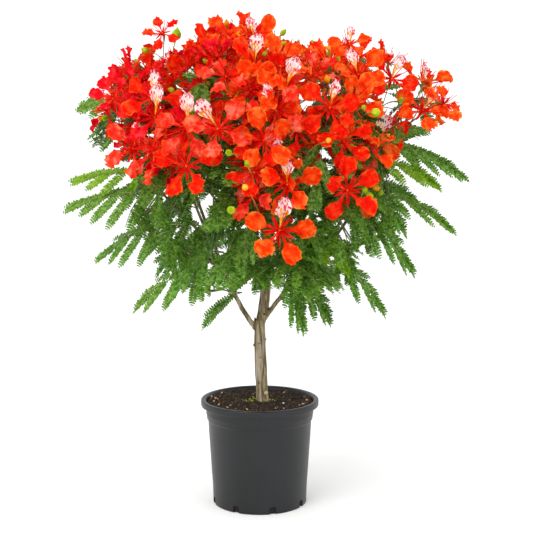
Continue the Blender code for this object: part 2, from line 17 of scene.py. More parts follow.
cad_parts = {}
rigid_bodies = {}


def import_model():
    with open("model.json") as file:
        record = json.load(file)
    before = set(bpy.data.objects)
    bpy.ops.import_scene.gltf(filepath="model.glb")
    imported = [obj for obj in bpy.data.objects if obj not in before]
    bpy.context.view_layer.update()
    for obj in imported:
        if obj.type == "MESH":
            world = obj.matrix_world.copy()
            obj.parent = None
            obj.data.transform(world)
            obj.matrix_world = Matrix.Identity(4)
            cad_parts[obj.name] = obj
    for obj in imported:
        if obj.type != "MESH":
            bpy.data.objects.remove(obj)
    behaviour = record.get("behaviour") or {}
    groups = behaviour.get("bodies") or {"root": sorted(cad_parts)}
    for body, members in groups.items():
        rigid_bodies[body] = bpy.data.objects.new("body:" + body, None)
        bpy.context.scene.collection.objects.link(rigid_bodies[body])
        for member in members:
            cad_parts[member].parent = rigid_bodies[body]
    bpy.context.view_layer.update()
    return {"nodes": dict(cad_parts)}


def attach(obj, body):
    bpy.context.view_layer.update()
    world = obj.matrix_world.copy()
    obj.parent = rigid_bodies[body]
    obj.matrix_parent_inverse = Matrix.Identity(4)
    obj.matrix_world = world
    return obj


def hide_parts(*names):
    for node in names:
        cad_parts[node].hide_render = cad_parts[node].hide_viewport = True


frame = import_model()

UP = Vector((0.0, 0.0, 1.0))
SEED = 10

# Camera: where the photograph was taken from
CAMERA_PLACE = Vector((0.0159, -2.6, 0.8625))
CAMERA_PITCH = 0.1139
CAMERA_LENS = 75.22

# The pot
POT_HEIGHT = 0.25
RIM_RADIUS = 0.14
LIP_DEPTH = 0.0155
POT_WALL = 0.0022
COLLAR_RADIUS = 0.1257
COLLAR_TOP_RADIUS = 0.13
COLLAR_BOTTOM = 0.203
COLLAR_STEP = 0.003
BASE_RADIUS = 0.1116
POT_FLOOR = 0.003
POT_SIDES = 144
SLOT_COUNT = 8
SLOT_WIDTH = 0.015
SLOT_HEIGHT = 0.017
SLOT_TURN = math.radians(-29.4)
# The wall's slight curve from the collar down to the foot: radius and height
WALL_PROFILE = (
    (0.1206, 0.16), (0.1173, 0.1105), (0.115, 0.0735), (0.1128, 0.0438), (0.1117, 0.012),
)
SOIL_LEVEL = 0.24
SOIL_RADIUS = 0.1265

# Trunk and limbs, as in the solids
GAP = 0.0003
TRUNK_FOOT_X = 0.007
FORK_HEIGHT = 0.43
FLARE_RADIUS = 0.0185
FOOT_RADIUS = 0.014
FORK_RADIUS = 0.013
FLARE_HEIGHT = 0.03
BOUGHS = {
    "bough_centre": ("trunk", 1.0, (0.012, 0.012, 0.612), 0.0, 0.0122, 0.0085),
    "bough_left": ("trunk", 0.93, (-0.106, -0.03, 0.62), -0.026, 0.0064, 0.0042),
    "bough_right": ("bough_centre", 0.08, (0.15, -0.012, 0.598), 0.008, 0.006, 0.004),
    "bough_back": ("bough_centre", 0.42, (0.025, 0.125, 0.64), -0.01, 0.006, 0.0042),
    "bough_front": ("bough_centre", 0.8, (0.02, -0.095, 0.655), -0.006, 0.0055, 0.0042),
}
BRANCH_RADIUS = 0.0036
BRANCH_LIFT = -0.012
STEM_RADIUS = 0.0024

# Masses: parent bough, share of its length, middle of the mass, blossoms, leaves
MASSES = {
    "blossom_top": ("bough_centre", 1.0, (-0.06, 0.02, 1.04), 19, 6),
    "blossom_top_right": ("bough_centre", 1.0, (0.17, 0.02, 1.01), 18, 6),
    "blossom_top_back": ("bough_centre", 1.0, (0.06, 0.215, 0.965), 16, 6),
    "blossom_upper_left": ("bough_left", 1.0, (-0.225, -0.01, 0.98), 16, 5),
    "blossom_left": ("bough_left", 1.0, (-0.31, -0.06, 0.85), 14, 6),
    "blossom_front_left": ("bough_left", 1.0, (-0.16, -0.215, 0.79), 13, 6),
    "blossom_right": ("bough_right", 1.0, (0.34, -0.03, 0.91), 17, 6),
    "blossom_front_right": ("bough_right", 1.0, (0.205, -0.22, 0.775), 13, 6),
    "blossom_shoulder_left": ("bough_front", 1.0, (-0.075, -0.19, 0.955), 13, 5),
    "blossom_shoulder_right": ("bough_front", 1.0, (0.165, -0.19, 0.945), 13, 5),
    "blossom_middle": ("bough_front", 1.0, (0.035, -0.23, 0.85), 12, 6),
    "blossom_front": ("bough_front", 0.97, (0.035, -0.265, 0.71), 10, 6),
    "blossom_back": ("bough_back", 1.0, (0.03, 0.3, 0.79), 11, 6),
    "blossom_back_left": ("bough_back", 0.6, (-0.215, 0.215, 0.85), 13, 6),
    "blossom_back_right": ("bough_back", 1.0, (0.25, 0.21, 0.845), 13, 6),
    "foliage_left": ("bough_left", 0.85, (-0.285, -0.03, 0.67), 0, 7),
    "foliage_right": ("bough_right", 0.85, (0.31, -0.03, 0.685), 0, 6),
    "foliage_front_left": ("bough_left", 0.65, (-0.15, -0.14, 0.535), 0, 8),
    "foliage_front_right": ("bough_right", 0.65, (0.18, -0.14, 0.54), 0, 7),
    "foliage_front": ("bough_front", 0.5, (0.02, -0.2, 0.555), 0, 6),
    "foliage_back": ("bough_back", 0.8, (0.03, 0.23, 0.57), 0, 8),
    "foliage_back_left": ("bough_back", 0.5, (-0.19, 0.17, 0.575), 0, 8),
    "foliage_back_right": ("bough_right", 0.9, (0.22, 0.17, 0.575), 0, 8),
}

# The crown's outline
CROWN_MIDDLE = Vector((0.022, 0.0, 0.78))
CROWN_HALF_WIDTH = 0.462
CROWN_HALF_DEPTH = 0.43
CROWN_RISE = 0.384
CROWN_DROP = 0.395
DOME_ROUNDNESS = 2.2
BOWL_ROUNDNESS = 2.0
EVEN_STEPS = (0.8192, 0.671, 0.5497)
EVEN_START = 0.5
SEARCH_REACH = 0.2
SIGHT_STEP = 0.004

# Blossoms that face the front: across and up on the plane y = 0, depth under the outline,
# size, and whether the white petal shows
FRONT_BLOSSOMS = (
    (-0.17, 0.8, 0.03, 1.05, False),
    (-0.097, 0.886, 0.02, 1.0, True),
    (-0.17, 0.889, 0.03, 1.0, True),
    (-0.013, 0.786, 0.035, 0.9, False),
    (0.01, 0.859, 0.03, 0.95, False),
    (0.064, 0.758, 0.02, 1.0, True),
    (0.038, 0.928, 0.03, 0.95, True),
    (0.204, 0.744, 0.02, 1.05, False),
    (0.047, 0.651, 0.015, 1.1, True),
    (0.376, 0.928, 0.03, 0.95, True),
    (-0.011, 1.089, 0.03, 0.85, True),
    (-0.013, 1.033, 0.03, 0.9, True),
    (0.059, 0.977, 0.02, 0.95, True),
    (-0.247, 0.956, 0.03, 1.0, True),
    (-0.293, 0.84, 0.03, 0.95, True),
    (0.227, 1.01, 0.03, 0.95, True),
    (0.162, 0.935, 0.03, 0.95, True),
    (0.304, 1.0, 0.03, 0.9, True),
    (-0.223, 1.104, 0.006, 0.62, False),
    (0.206, 1.078, 0.006, 0.66, True),
    (0.425, 0.942, 0.0, 0.74, False),
    (-0.338, 0.955, 0.01, 0.76, False),
)

# Buds that face the front: across and up on the plane y = 0, distance in front, size, gold
FRONT_BUDS = (
    (-0.191, 1.101, 0.0, 1.55, False), (-0.174, 1.005, 0.14, 0.85, False),
    (0.012, 1.057, 0.2, 0.8, False), (0.269, 0.924, 0.36, 1.25, False),
    (0.241, 0.936, 0.36, 0.7, False), (-0.072, 0.831, 0.42, 0.95, False),
    (-0.03, 0.807, 0.42, 0.72, False), (-0.034, 0.751, 0.42, 0.9, True),
    (-0.067, 0.698, 0.4, 1.15, False), (0.246, 0.744, 0.4, 0.85, False),
    (-0.118, 0.99, 0.26, 0.7, False), (0.16, 0.86, 0.41, 0.75, True),
)

# How high and how low the blossom reaches across the crown, seen from the front on y = 0
BLOSSOM_TOP = (
    (-0.425, 0.84), (-0.408, 0.88), (-0.394, 0.915), (-0.384, 0.95), (-0.363, 1.0),
    (-0.34, 1.035), (-0.28, 1.095), (-0.225, 1.14), (-0.186, 1.045), (-0.149, 1.118),
    (-0.11, 1.135), (-0.06, 1.155), (-0.02, 1.155), (0.02, 1.12), (0.057, 1.13),
    (0.113, 1.075), (0.15, 1.075), (0.206, 1.11), (0.3, 1.082), (0.355, 1.055),
    (0.41, 1.02), (0.433, 0.995), (0.455, 0.97), (0.48, 0.93),
)
BLOSSOM_HEM = (
    (-0.425, 0.86), (-0.38, 0.83), (-0.316, 0.772), (-0.24, 0.721), (-0.13, 0.721),
    (-0.093, 0.747), (-0.055, 0.623), (0.113, 0.598), (0.131, 0.707), (0.188, 0.658),
    (0.243, 0.677), (0.3, 0.709), (0.337, 0.85), (0.4, 0.868), (0.44, 0.875),
    (0.48, 0.932),
)

# Gaps that show the sky through the whole crown, seen from the front on y = 0: across, up, radius
SKY_GAPS = (
    (0.102, 0.946, 0.019), (0.145, 0.819, 0.012), (0.29, 1.008, 0.012), (0.26, 0.952, 0.01),
    (0.292, 0.961, 0.012), (0.355, 0.919, 0.014), (0.353, 0.97, 0.012), (-0.172, 0.98, 0.012),
    (-0.331, 0.9, 0.012), (-0.335, 0.847, 0.009), (-0.249, 0.868, 0.008), (-0.298, 0.805, 0.009),
    (-0.209, 1.075, 0.016), (-0.095, 0.595, 0.012), (-0.118, 0.719, 0.008), (-0.191, 0.651, 0.009),
    (-0.072, 0.602, 0.009), (-0.111, 0.546, 0.01), (-0.149, 0.686, 0.007), (-0.233, 0.721, 0.009),
    (0.19, 0.663, 0.009), (0.166, 0.577, 0.009), (0.215, 0.637, 0.012),
)
GAP_MARGIN = 0.006
# Gaps among the blossoms where leaves show, in the same way
LEAF_GAPS = (
    (-0.074, 0.821, 0.019), (-0.097, 0.761, 0.012), (0.155, 0.786, 0.014), (0.127, 0.728, 0.014),
    (-0.123, 0.844, 0.009), (-0.065, 0.777, 0.009),
)

# Leaves that show at the crown's edge: mass, root, tip, how far the rachis arches, tone,
# how steeply the pinnae droop, and the share of their spread
EDGE_LEAVES = (
    ("foliage_left", (-0.2, -0.03, 0.778), (-0.437, -0.045, 0.78), 0.008, 0, 0.55, 1.0),
    ("foliage_left", (-0.18, -0.06, 0.738), (-0.441, -0.09, 0.722), 0.01, 1, 0.7, 1.0),
    ("foliage_left", (-0.17, -0.03, 0.655), (-0.391, -0.03, 0.604), 0.02, 2, 0.75, 1.0),
    ("foliage_left", (-0.18, 0.05, 0.77), (-0.35, 0.11, 0.74), 0.016, 3, 0.5, 1.0),
    ("foliage_left", (-0.15, 0.04, 0.7), (-0.32, 0.1, 0.65), 0.02, 3, 0.45, 1.0),
    ("foliage_front_left", (-0.11, -0.06, 0.555), (-0.306, -0.06, 0.492), 0.02, 1, 0.75, 1.0),
    ("foliage_front_left", (-0.15, 0.02, 0.6), (-0.27, 0.06, 0.56), 0.016, 2, 0.6, 1.0),
    ("foliage_front_left", (-0.11, -0.12, 0.66), (-0.27, -0.16, 0.64), 0.02, 3, 0.6, 1.0),
    ("foliage_front_left", (-0.04, -0.085, 0.515), (-0.142, -0.11, 0.447), 0.008, 2, 0.2, 0.32),
    ("foliage_front_left", (-0.08, -0.11, 0.61), (-0.215, -0.18, 0.535), 0.02, 2, 0.45, 1.0),
    ("foliage_front", (0.005, -0.175, 0.612), (-0.14, -0.225, 0.56), 0.02, 2, 0.4, 1.0),
    ("foliage_front", (0.01, -0.18, 0.612), (0.145, -0.225, 0.56), 0.022, 2, 0.4, 1.0),
    ("foliage_front", (0.006, -0.11, 0.632), (0.002, -0.27, 0.552), 0.016, 2, 0.5, 1.0),
    ("foliage_front", (0.0, 0.06, 0.64), (-0.1, -0.01, 0.56), 0.02, 3, 0.4, 1.0),
    ("foliage_front", (0.02, 0.06, 0.64), (0.11, 0.0, 0.57), 0.02, 3, 0.4, 1.0),
    ("foliage_right", (0.28, -0.02, 0.85), (0.492, -0.03, 0.782), 0.014, 2, 0.35, 0.5),
    ("foliage_right", (0.26, -0.06, 0.8), (0.43, -0.08, 0.768), 0.014, 0, 0.55, 0.5),
    ("foliage_right", (0.245, 0.0, 0.75), (0.398, 0.02, 0.724), 0.014, 2, 0.5, 0.5),
    ("foliage_right", (0.265, -0.055, 0.735), (0.46, -0.06, 0.664), 0.014, 1, 0.3, 0.5),
    ("foliage_right", (0.18, -0.09, 0.68), (0.372, -0.11, 0.578), 0.034, 2, 0.6, 1.0),
    ("foliage_front_right", (0.14, -0.05, 0.585), (0.308, -0.06, 0.477), 0.024, 2, 0.5, 1.0),
    ("foliage_right", (0.235, -0.07, 0.735), (0.352, -0.1, 0.66), 0.014, 2, 0.6, 1.0),
    ("foliage_right", (0.27, 0.03, 0.86), (0.392, 0.02, 0.818), 0.01, 2, 0.35, 0.5),
    ("foliage_front", (0.1, -0.205, 0.66), (0.215, -0.245, 0.59), 0.018, 0, 0.45, 1.0),
    ("foliage_front_right", (0.055, -0.13, 0.56), (0.112, -0.15, 0.425), 0.01, 2, 0.15, 1.0),
    ("foliage_front_right", (0.08, -0.12, 0.545), (0.176, -0.14, 0.462), 0.012, 3, 0.3, 1.0),
    ("blossom_left", (-0.32, -0.01, 0.935), (-0.422, -0.01, 0.952), 0.008, 1, 0.4, 1.0),
)

# Leaves within the crown that hang their pinnae towards its two sides: across, distance
# of root and tip from the middle plane, height of root and tip, how steeply the pinnae droop
SIDE_TIERS = (
    (0.19, 0.01, 0.2, 0.76, 0.7, 1.1),
    (0.17, 0.02, 0.18, 0.69, 0.61, 1.0),
    (0.23, 0.01, 0.18, 0.845, 0.805, 1.1),
    (0.12, 0.03, 0.19, 0.88, 0.87, 0.9),
    (0.08, 0.07, 0.23, 0.7, 0.64, 1.1),
    (0.06, 0.05, 0.21, 0.79, 0.74, 1.0),
    (0.11, 0.02, 0.16, 0.64, 0.57, 1.0),
    (0.26, 0.06, 0.23, 0.74, 0.69, 1.1),
    (0.03, 0.02, 0.16, 0.85, 0.84, 0.6),
    (0.06, 0.02, 0.18, 0.96, 0.97, 0.35),
    (0.14, 0.03, 0.19, 0.925, 0.935, 0.4),
    (0.1, 0.0, 0.15, 0.89, 0.89, 0.35),
)

# The lowest that leaves of the inner crown reach, seen from the front on y = 0
LEAF_HEM = (
    (-0.35, 0.56), (-0.28, 0.48), (-0.15, 0.455), (-0.09, 0.48), (-0.045, 0.51),
    (0.035, 0.51), (0.06, 0.48), (0.11, 0.445), (0.15, 0.49), (0.33, 0.51),
)

# A leaf
LEAF_ROOTS = (0.05, 0.95)
LEAF_REACH = (0.11, 0.27)
LEAF_ARCH = (0.025, 0.055)
LEAF_FAN = math.radians(80)
LEAF_SLOPE = (math.radians(-42), math.radians(10))
BLOSSOM_LEAF_SLOPE = (math.radians(-48), math.radians(30))
LEAF_INSET = 0.055
BLOSSOM_LEAF_INSET = 0.085
OUTLINE_MARGIN = 0.008
INNER_MIDDLE = (0.01, 0.7)
INNER_HALVES = (0.31, 0.25)
PINNA_SPACING = 0.034
PETIOLE_SHARE = 0.22
PINNA_LENGTH = 0.09
PINNA_SPREAD = (math.radians(80), math.radians(10))
PINNA_DROOP = (0.2, 0.55)
LAST_PINNA = 0.985
LEAF_ROLL = 0.48
# Pinnae on the far side of a rolled leaf: the share of their spread, and how they rise
FAR_TURN = 0.42
FAR_HANG = -0.35
SIDE_ARCH = 0.014
PINNA_SAG = 0.014
PINNA_STEPS = 5
PINNA_SHARES = [i / PINNA_STEPS for i in range(PINNA_STEPS + 1)]
# Leaflets are smaller on leaves whose pinnae spread less
LEAST_FULLNESS = 0.74
NARROW_OPENING = 0.32
FULL_OPENING = 0.2
LEAFLET_SPACING = 0.0058
LEAFLET_LENGTH = 0.013
LEAFLET_WIDTH = 0.0072
LEAFLET_LEAN = 0.34
LEAFLET_RISE = 0.1
LEAFLET_TILT = 0.17
LEAFLET_WAVE = 2.4
# How large the leaflets are along a pinna
LEAFLET_SWELL = ((0.0, 0.42), (0.14, 0.82), (0.4, 1.0), (0.72, 0.97), (0.92, 0.7), (1.0, 0.4))

# A blossom
CLAW_ROWS = ((0.004, 0.0017), (0.016, 0.0019), (0.028, 0.0036))
LIMB_TURNS = (-62, -44, -26, -8, 10, 28, 45, 60, 73, 84)
LIMB_MIDDLE = 0.0525
LIMB_HALF_LENGTH = 0.0204
LIMB_HALF_WIDTH = 0.02
BANNER_HALF_WIDTH = 0.0172
PETAL_COLUMNS = 14
# How a petal folds, curls, twists, ruffles and tips, and how its size varies
PETAL_FOLD = (-0.01, 0.017)
PETAL_CURL = (-6.0, 3.0)
PETAL_TWIST = (-0.5, 0.5)
PETAL_RUFFLE = (0.0036, 0.0062)
PETAL_TILT = (-0.25, 0.7)
PETAL_SIZES = (0.9, 1.04)
BANNER_RUFFLE = 0.0048
BANNER_TILT = (0.1, 0.6)
BANNER_SIZES = (0.8, 0.94)
BLOSSOM_SIZES = (0.84, 1.04)
RIM_SHARE = 0.86
SEPAL_ROWS = ((0.0, 0.0018), (0.35, 0.0031), (0.7, 0.0028), (1.0, 0.0006))
FILAMENT_RADII = (0.0014, 0.0013, 0.0012, 0.0011, 0.0009)
STAMENS = 10
# Length and width of an anther, of the gold cup and of a ridged bud
ANTHER = (0.0042, 0.0019)
CUP = (0.0085, 0.008)
CUP_DROP = 0.0042
BUD = (0.021, 0.0145)
BUD_RIDGE = 0.035
# Shares of the white petal's faces that are yellow in its throat, and crimson beyond
THROAT_FACES = 46
THROAT_YELLOW = 0.66
THROAT_FADE = 0.008
BLADE_CRIMSON = 0.33
RIM_CRIMSON = 0.74
PETAL_KINDS = 12
BLOSSOM_KINDS = 10
BLOSSOM_SPACINGS = (0.078, 0.064, 0.054, 0.046)
BLOSSOM_REACH = 0.077
BLOSSOM_DEPTH = (0.004, 0.125)
BLOSSOM_FRONT = 0.385
BLOSSOM_UP = Vector((0.0, 0.3, 1.0))
HUB_PULL = 0.6
FACING_JITTER = 0.55
BANNER_SHARE = 0.17

# Racemes: where a twig's head stands between hub and blossoms, and how far heads are apart
HEAD_SHARE = 0.55
HEAD_SPACING = 0.055
HEAD_STEM = 0.93
# How deep under a blossom's middle its stalk bends and ends
CUP_DEPTHS = (0.01, 0.002)
BUDS_PER_HEAD = (2, 5)
BUD_STALK = (0.03, 0.08)
BUD_SIZES = (0.62, 1.1)
BUD_INSET = 0.012
# First and last radius of twigs, leaf stalks and ribs, and their steps
TWIG_TAPER = (0.0021, 0.0014, 5)
LEAD_TAPER = (0.0022, 0.0015, 5)
RACHIS_TAPER = (0.0015, 0.0007, 8)
RIB_TAPER = (0.0008, 0.00045, PINNA_STEPS)
# Radii along the stalks of blossoms and buds
STALK_RADII = (0.0011, 0.001, 0.001, 0.0012, 0.003, 0.0034)
BUD_STALK_RADII = (0.0011, 0.0009, 0.0009, 0.001, 0.0016)
FRONT_TWIG_RADII = (0.0016, 0.0015, 0.0014, 0.0013, 0.0012)
FRONT_STALK_RADII = (0.0012, 0.001, 0.001, 0.0011, 0.0018)

# Petal colours across the crown, from left to right, each up to its limit
PETAL_SIDES = (("crimson", -0.75), ("coral", -0.35), ("scarlet", 0.45), ("orange", math.inf))

# Dark, middle and light tones, as levels on a screen
PETAL_TONES = {
    "petal_scarlet": ((232, 8, 2), (254, 30, 6), (255, 74, 24)),
    "petal_orange": ((242, 38, 0), (255, 70, 10), (255, 120, 44)),
    "petal_crimson": ((212, 0, 18), (242, 14, 34), (254, 60, 66)),
    "petal_coral": ((240, 26, 14), (255, 66, 42), (255, 128, 100)),
    "claw_red": ((218, 10, 4), (246, 28, 10), (255, 74, 34)),
    # Rim tones, lighter and more orange than the blades: painted light where light catches and
    # shines through the petals' thin edges
    "rim_orange": ((222, 40, 4), (240, 76, 16), (250, 112, 44)),
    "rim_amber": ((236, 76, 8), (248, 112, 28), (255, 148, 62)),
    "sepal_crimson": ((188, 4, 6), (226, 14, 12), (246, 52, 34)),
    "filament_red": ((214, 8, 4), (240, 24, 8), (252, 62, 36)),
    "receptacle_gold": ((196, 96, 14), (222, 132, 30), (236, 168, 60)),
    "banner_white": ((246, 206, 206), (253, 236, 232), (255, 250, 248)),
    "banner_yellow": ((236, 120, 10), (250, 164, 22), (255, 206, 70)),
    "banner_crimson": ((206, 24, 56), (230, 62, 88), (244, 128, 140)),
    "anther_maroon": ((70, 14, 10), (96, 24, 14), (120, 44, 20)),
    "sepal_green": ((120, 130, 34), (150, 156, 50), (176, 170, 70)),
}
BUD_GREENS = ((132, 160, 16), (172, 200, 30), (210, 226, 80))
BUD_GOLDS = ((214, 130, 12), (240, 170, 26), (250, 204, 70))
# Five greens, dealt out by leaf. Besides their own variety they paint light and shade: the bright
# green goes on lit leaves at the crown's edge, and the deep and dark greens on leaves among the
# blossoms, as painted shade deep in the crown
LEAF_TONES = {
    "leaf_bright": ((88, 136, 4), (118, 166, 14), (152, 190, 46)),
    "leaf_light": ((66, 112, 14), (96, 142, 34), (136, 174, 76)),
    "leaf_green": ((58, 104, 20), (94, 144, 40), (138, 180, 86)),
    "leaf_deep": ((48, 90, 14), (80, 124, 30), (122, 162, 68)),
    "leaf_dark": ((30, 60, 12), (50, 84, 20), (80, 116, 40)),
}
# Bark: dark, middle and light, then the paler plates and the moss
BARK_TONES = (((58, 48, 24), (112, 96, 64), (172, 156, 120)), (192, 180, 160), (100, 98, 50))
YOUNG_TONES = (((70, 66, 40), (98, 92, 56), (124, 112, 76)), (132, 122, 96), (88, 104, 46))

# Small swellings of the trunk: middle, radius, stretch
SWELLINGS = (
    ((-0.0125, -0.003, 0.3785), 0.0036, (1.0, 1.0, 0.9)),
    ((0.0126, -0.002, 0.392), 0.0034, (1.0, 1.0, 1.1)),
    ((0.0121, -0.0101, 0.264), 0.0062, (1.0, 1.0, 1.0)),
    ((-0.0009, -0.0112, 0.384), 0.0038, (1.3, 0.8, 0.8)),
    ((0.0019, -0.0114, 0.351), 0.0038, (1.3, 0.8, 0.8)),
    ((0.0095, -0.008, 0.453), 0.0044, (1.0, 0.8, 1.0)),
    ((-0.0102, -0.008, 0.434), 0.0052, (0.8, 0.8, 1.3)),
    ((-0.011, -0.0085, 0.4415), 0.0034, (0.7, 0.7, 1.5)),
    ((-0.014, -0.004, 0.42), 0.0046, (1.0, 0.9, 1.0)),
)
# Scars on the bark: tint, then middle, radius and stretch of each, dark and light tone
SCARS = (
    ("tan", (
        ((-0.0009, -0.0141, 0.384), 0.0032, (1.1, 0.45, 0.7)),
        ((0.0019, -0.0144, 0.351), 0.0036, (1.1, 0.45, 0.6)),
        ((-0.0152, -0.0085, 0.4205), 0.0024, (0.9, 0.6, 0.9)),
        ((0.0075, -0.0146, 0.306), 0.002, (0.9, 0.5, 0.9)),
    ), ((124, 88, 48), (170, 126, 76))),
    ("pale", (
        ((0.015, -0.0152, 0.2652), 0.005, (1.0, 0.35, 0.9)),
        ((0.0116, -0.0075, 0.413), 0.0016, (0.8, 0.6, 1.8)),
    ), ((186, 166, 126), (216, 200, 166))),
    ("dark", (
        ((0.0112, -0.0114, 0.4535), 0.0021, (0.9, 0.6, 1.2)),
        ((-0.0106, -0.0098, 0.4405), 0.003, (0.8, 0.7, 1.3)),
        ((0.0205, -0.007, 0.464), 0.002, (1.8, 0.7, 0.6)),
        ((-0.002, -0.0139, 0.29), 0.0016, (0.6, 0.4, 2.2)),
    ), ((28, 20, 14), (62, 46, 32))),
)
# How far the leader's skin leans and swells, how high the bark's relief stands, and how far
# below their lines the low boughs leave
LEADER_LEAN = 0.009
LEADER_SWELL = 0.0016
SKIN_GRAIN = 0.0013
STREAK_RELIEF = 0.0006
FINE_RELIEF = 0.0003
FLUTE_RELIEF = 0.0011
LUMP_RELIEF = 0.0006
LOW_STARTS = {
    "bough_left": Vector((0.0, 0.0, -0.01)),
    "bough_right": Vector((0.006, 0.0, -0.01)),
}

# Pale chips and tufts of moss on the mix: across, back, and how high a tuft sits
PALE_CHIPS = (
    (-0.1148, 0.031), (-0.101, 0.007), (-0.0976, -0.049), (-0.0674, -0.056), (-0.0942, 0.077),
    (-0.0733, -0.077), (0.1016, -0.045), (0.1115, -0.003), (0.0565, -0.083), (0.0283, 0.05),
    (-0.106, 0.016), (-0.11, -0.01), (0.092, -0.062), (0.035, -0.09), (-0.03, -0.095),
    (0.06, 0.075),
)
MOSS_TUFTS = (
    (-0.03, -0.008, 0.0), (-0.027, -0.016, 0.0), (-0.024, -0.004, 0.001), (-0.021, -0.018, 0.0),
    (-0.018, -0.01, 0.002), (-0.016, -0.02, 0.0), (-0.014, -0.015, 0.003), (-0.02, 0.0, 0.004),
    (-0.017, 0.004, 0.003), (-0.024, -0.012, 0.001), (-0.013, -0.019, 0.001),
    (-0.019, -0.006, 0.002), (0.016, -0.017, 0.001), (0.019, -0.016, 0.002), (0.021, -0.014, 0.001),
    (0.023, -0.012, 0.002), (0.013, -0.019, 0.0), (0.02, -0.017, -0.001), (0.024, -0.008, 0.001),
    (0.032, -0.013, 0.0), (0.029, -0.01, 0.0), (0.018, -0.02, 0.0),
)
CRUMB_RISE = 0.0022
CHIP_KINDS = 6
CHIP_THICKNESS = 0.34
CHIP_LIFT = 0.12
RIM_CLEARANCE = 0.003
# Chips strewn on the mix: name, count and sizes, dark and light tone
STREWN_CHIPS = (
    ("chips_dark", (1600, (0.003, 0.011)), ((20, 14, 10), (50, 36, 25))),
    ("chips_brown", (560, (0.003, 0.012)), ((58, 40, 25), (94, 66, 42))),
    ("chips_tan", (120, (0.003, 0.008)), ((130, 96, 60), (184, 146, 100))),
)
# What is set at its places: name, places, size and spread, dark and light tone
SET_CRUMBS = (
    ("chips_pale", (PALE_CHIPS, 0.0085, 0.002), ((176, 136, 92), (226, 190, 146))),
    ("moss_tufts", (MOSS_TUFTS, 0.0062, 0.004), ((120, 132, 20), (196, 196, 60))),
)

# The studio: tones of the floor, and each lamp's name, place and power
FLOOR_TONES = ((249.888,) * 3, (251.036,) * 3)
LAMPS = (("key", (-1.7, -2.6, 3.2), 76.0), ("fill", (2.6, -2.2, 1.6), 12.0))


def linear(level):
    level /= 255
    return level / 12.92 if level <= 0.04045 else ((level + 0.055) / 1.055) ** 2.4


def tone(*levels):
    """A colour by its levels on a screen, 0 to 255, as the shader takes it."""
    return (*(linear(level) for level in levels), 1.0)


def mix(low, high, share):
    return low * (1 - share) + high * share


def taper(first, last, steps):
    """Even steps from one value to another."""
    return [mix(first, last, i / steps) for i in range(steps + 1)]


def clamp(value):
    return min(max(value, 0.0), 1.0)


def turns(count):
    """Angles evenly round a circle."""
    return [2 * math.pi * i / count for i in range(count)]


def between(first, second, turn):
    """A direction turned from the first towards the second."""
    return first * math.cos(turn) + second * math.sin(turn)


def stray(rng, reach):
    """A random shift along each axis."""
    return Vector([rng.uniform(-reach, reach) for _ in range(3)])


# Materials


def feed(tree, socket, value):
    """Links a socket to another one, or sets its value."""
    if isinstance(value, bpy.types.NodeSocket):
        tree.links.new(value, socket)
    else:
        socket.default_value = value


def put(tree, kind, values=None, out=0, **settings):
    """A node with its settings and inputs, given by the socket that the next one reads."""
    node = tree.nodes.new(kind)
    for name, value in settings.items():
        setattr(node, name, value)
    for name, value in (values or {}).items():
        feed(tree, node.inputs[name], value)
    return node.outputs[out] if node.outputs else node


class Finish:
    """A material on object coordinates: tones, patches, roughness and relief from noise."""

    def __init__(self, name):
        self.material = bpy.data.materials.new(name)
        self.material.use_nodes = True
        self.tree = self.material.node_tree
        self.shader = self.tree.nodes["Principled BSDF"]
        self.place = put(self.tree, "ShaderNodeTexCoord", out="Object")

    def noise(self, grain, detail=3.0, stretch=(1.0, 1.0, 1.0), rough=0.55):
        place = put(self.tree, "ShaderNodeMapping", {"Vector": self.place, "Scale": stretch})
        given = {"Vector": place, "Scale": grain, "Detail": detail, "Roughness": rough}
        return put(self.tree, "ShaderNodeTexNoise", given)

    def ramp(self, fac, places, shades):
        """Colours at their places along a ramp."""
        colour = put(self.tree, "ShaderNodeValToRGB", {"Fac": fac})
        stops = colour.node.color_ramp.elements
        while len(stops) < len(places):
            stops.new(0.5)
        for stop, place, shade in zip(stops, places, shades):
            stop.position = place
            stop.color = tone(*shade)
        return colour

    def level(self, fac, low, high):
        given = {"Value": fac, "To Min": low, "To Max": high}
        return put(self.tree, "ShaderNodeMapRange", given)

    def over(self, fac, below, shade):
        """A shade laid over the colour where the pattern is light."""
        given = {"Factor": fac, 6: below, 7: tone(*shade)}
        return put(self.tree, "ShaderNodeMix", given, 2, data_type="RGBA")

    def paint(self, colour, roughness, relief=None, depth=0.0, through=0.0, specular=0.5):
        """Colour, roughness and relief on the shader, and a share of light through the piece."""
        given = {"Base Color": colour, "Roughness": roughness, "Specular IOR Level": specular}
        if relief is not None:
            bump = {"Height": relief, "Distance": depth, "Strength": 1.0}
            given["Normal"] = put(self.tree, "ShaderNodeBump", bump)
        for name, value in given.items():
            feed(self.tree, self.shader.inputs[name], value)
        if through:
            glow = put(self.tree, "ShaderNodeBsdfTranslucent", {"Color": colour})
            shares = {0: through, 1: self.shader.outputs["BSDF"], 2: glow}
            end = self.tree.nodes["Material Output"].inputs["Surface"]
            feed(self.tree, end, put(self.tree, "ShaderNodeMixShader", shares))
        return self.material


def petal_finish(name, *shades):
    """Petal: silky, with soft mottling and fine crinkles, and light through it."""
    made = Finish(name)
    colour = made.ramp(made.noise(58.0), (0.34, 0.50, 0.64), shades)
    return made.paint(colour, 0.60, made.noise(210.0), 0.0024, 0.30, 0.05)


def leaf_finish(name, *shades):
    """Leaflet: satin green that varies from leaflet to leaflet."""
    made = Finish(name)
    colour = made.ramp(made.noise(130.0), (0.34, 0.5, 0.66), shades)
    return made.paint(colour, 0.46, made.noise(900.0, 1.0), 0.0003, 0.26, 0.20)


def green_stalk_finish(name, *shades):
    made = Finish(name)
    colour = made.ramp(made.noise(70.0, 2.0), (0.35, 0.65), shades)
    return made.paint(colour, 0.55, made.noise(600.0, 1.0), 0.0002)


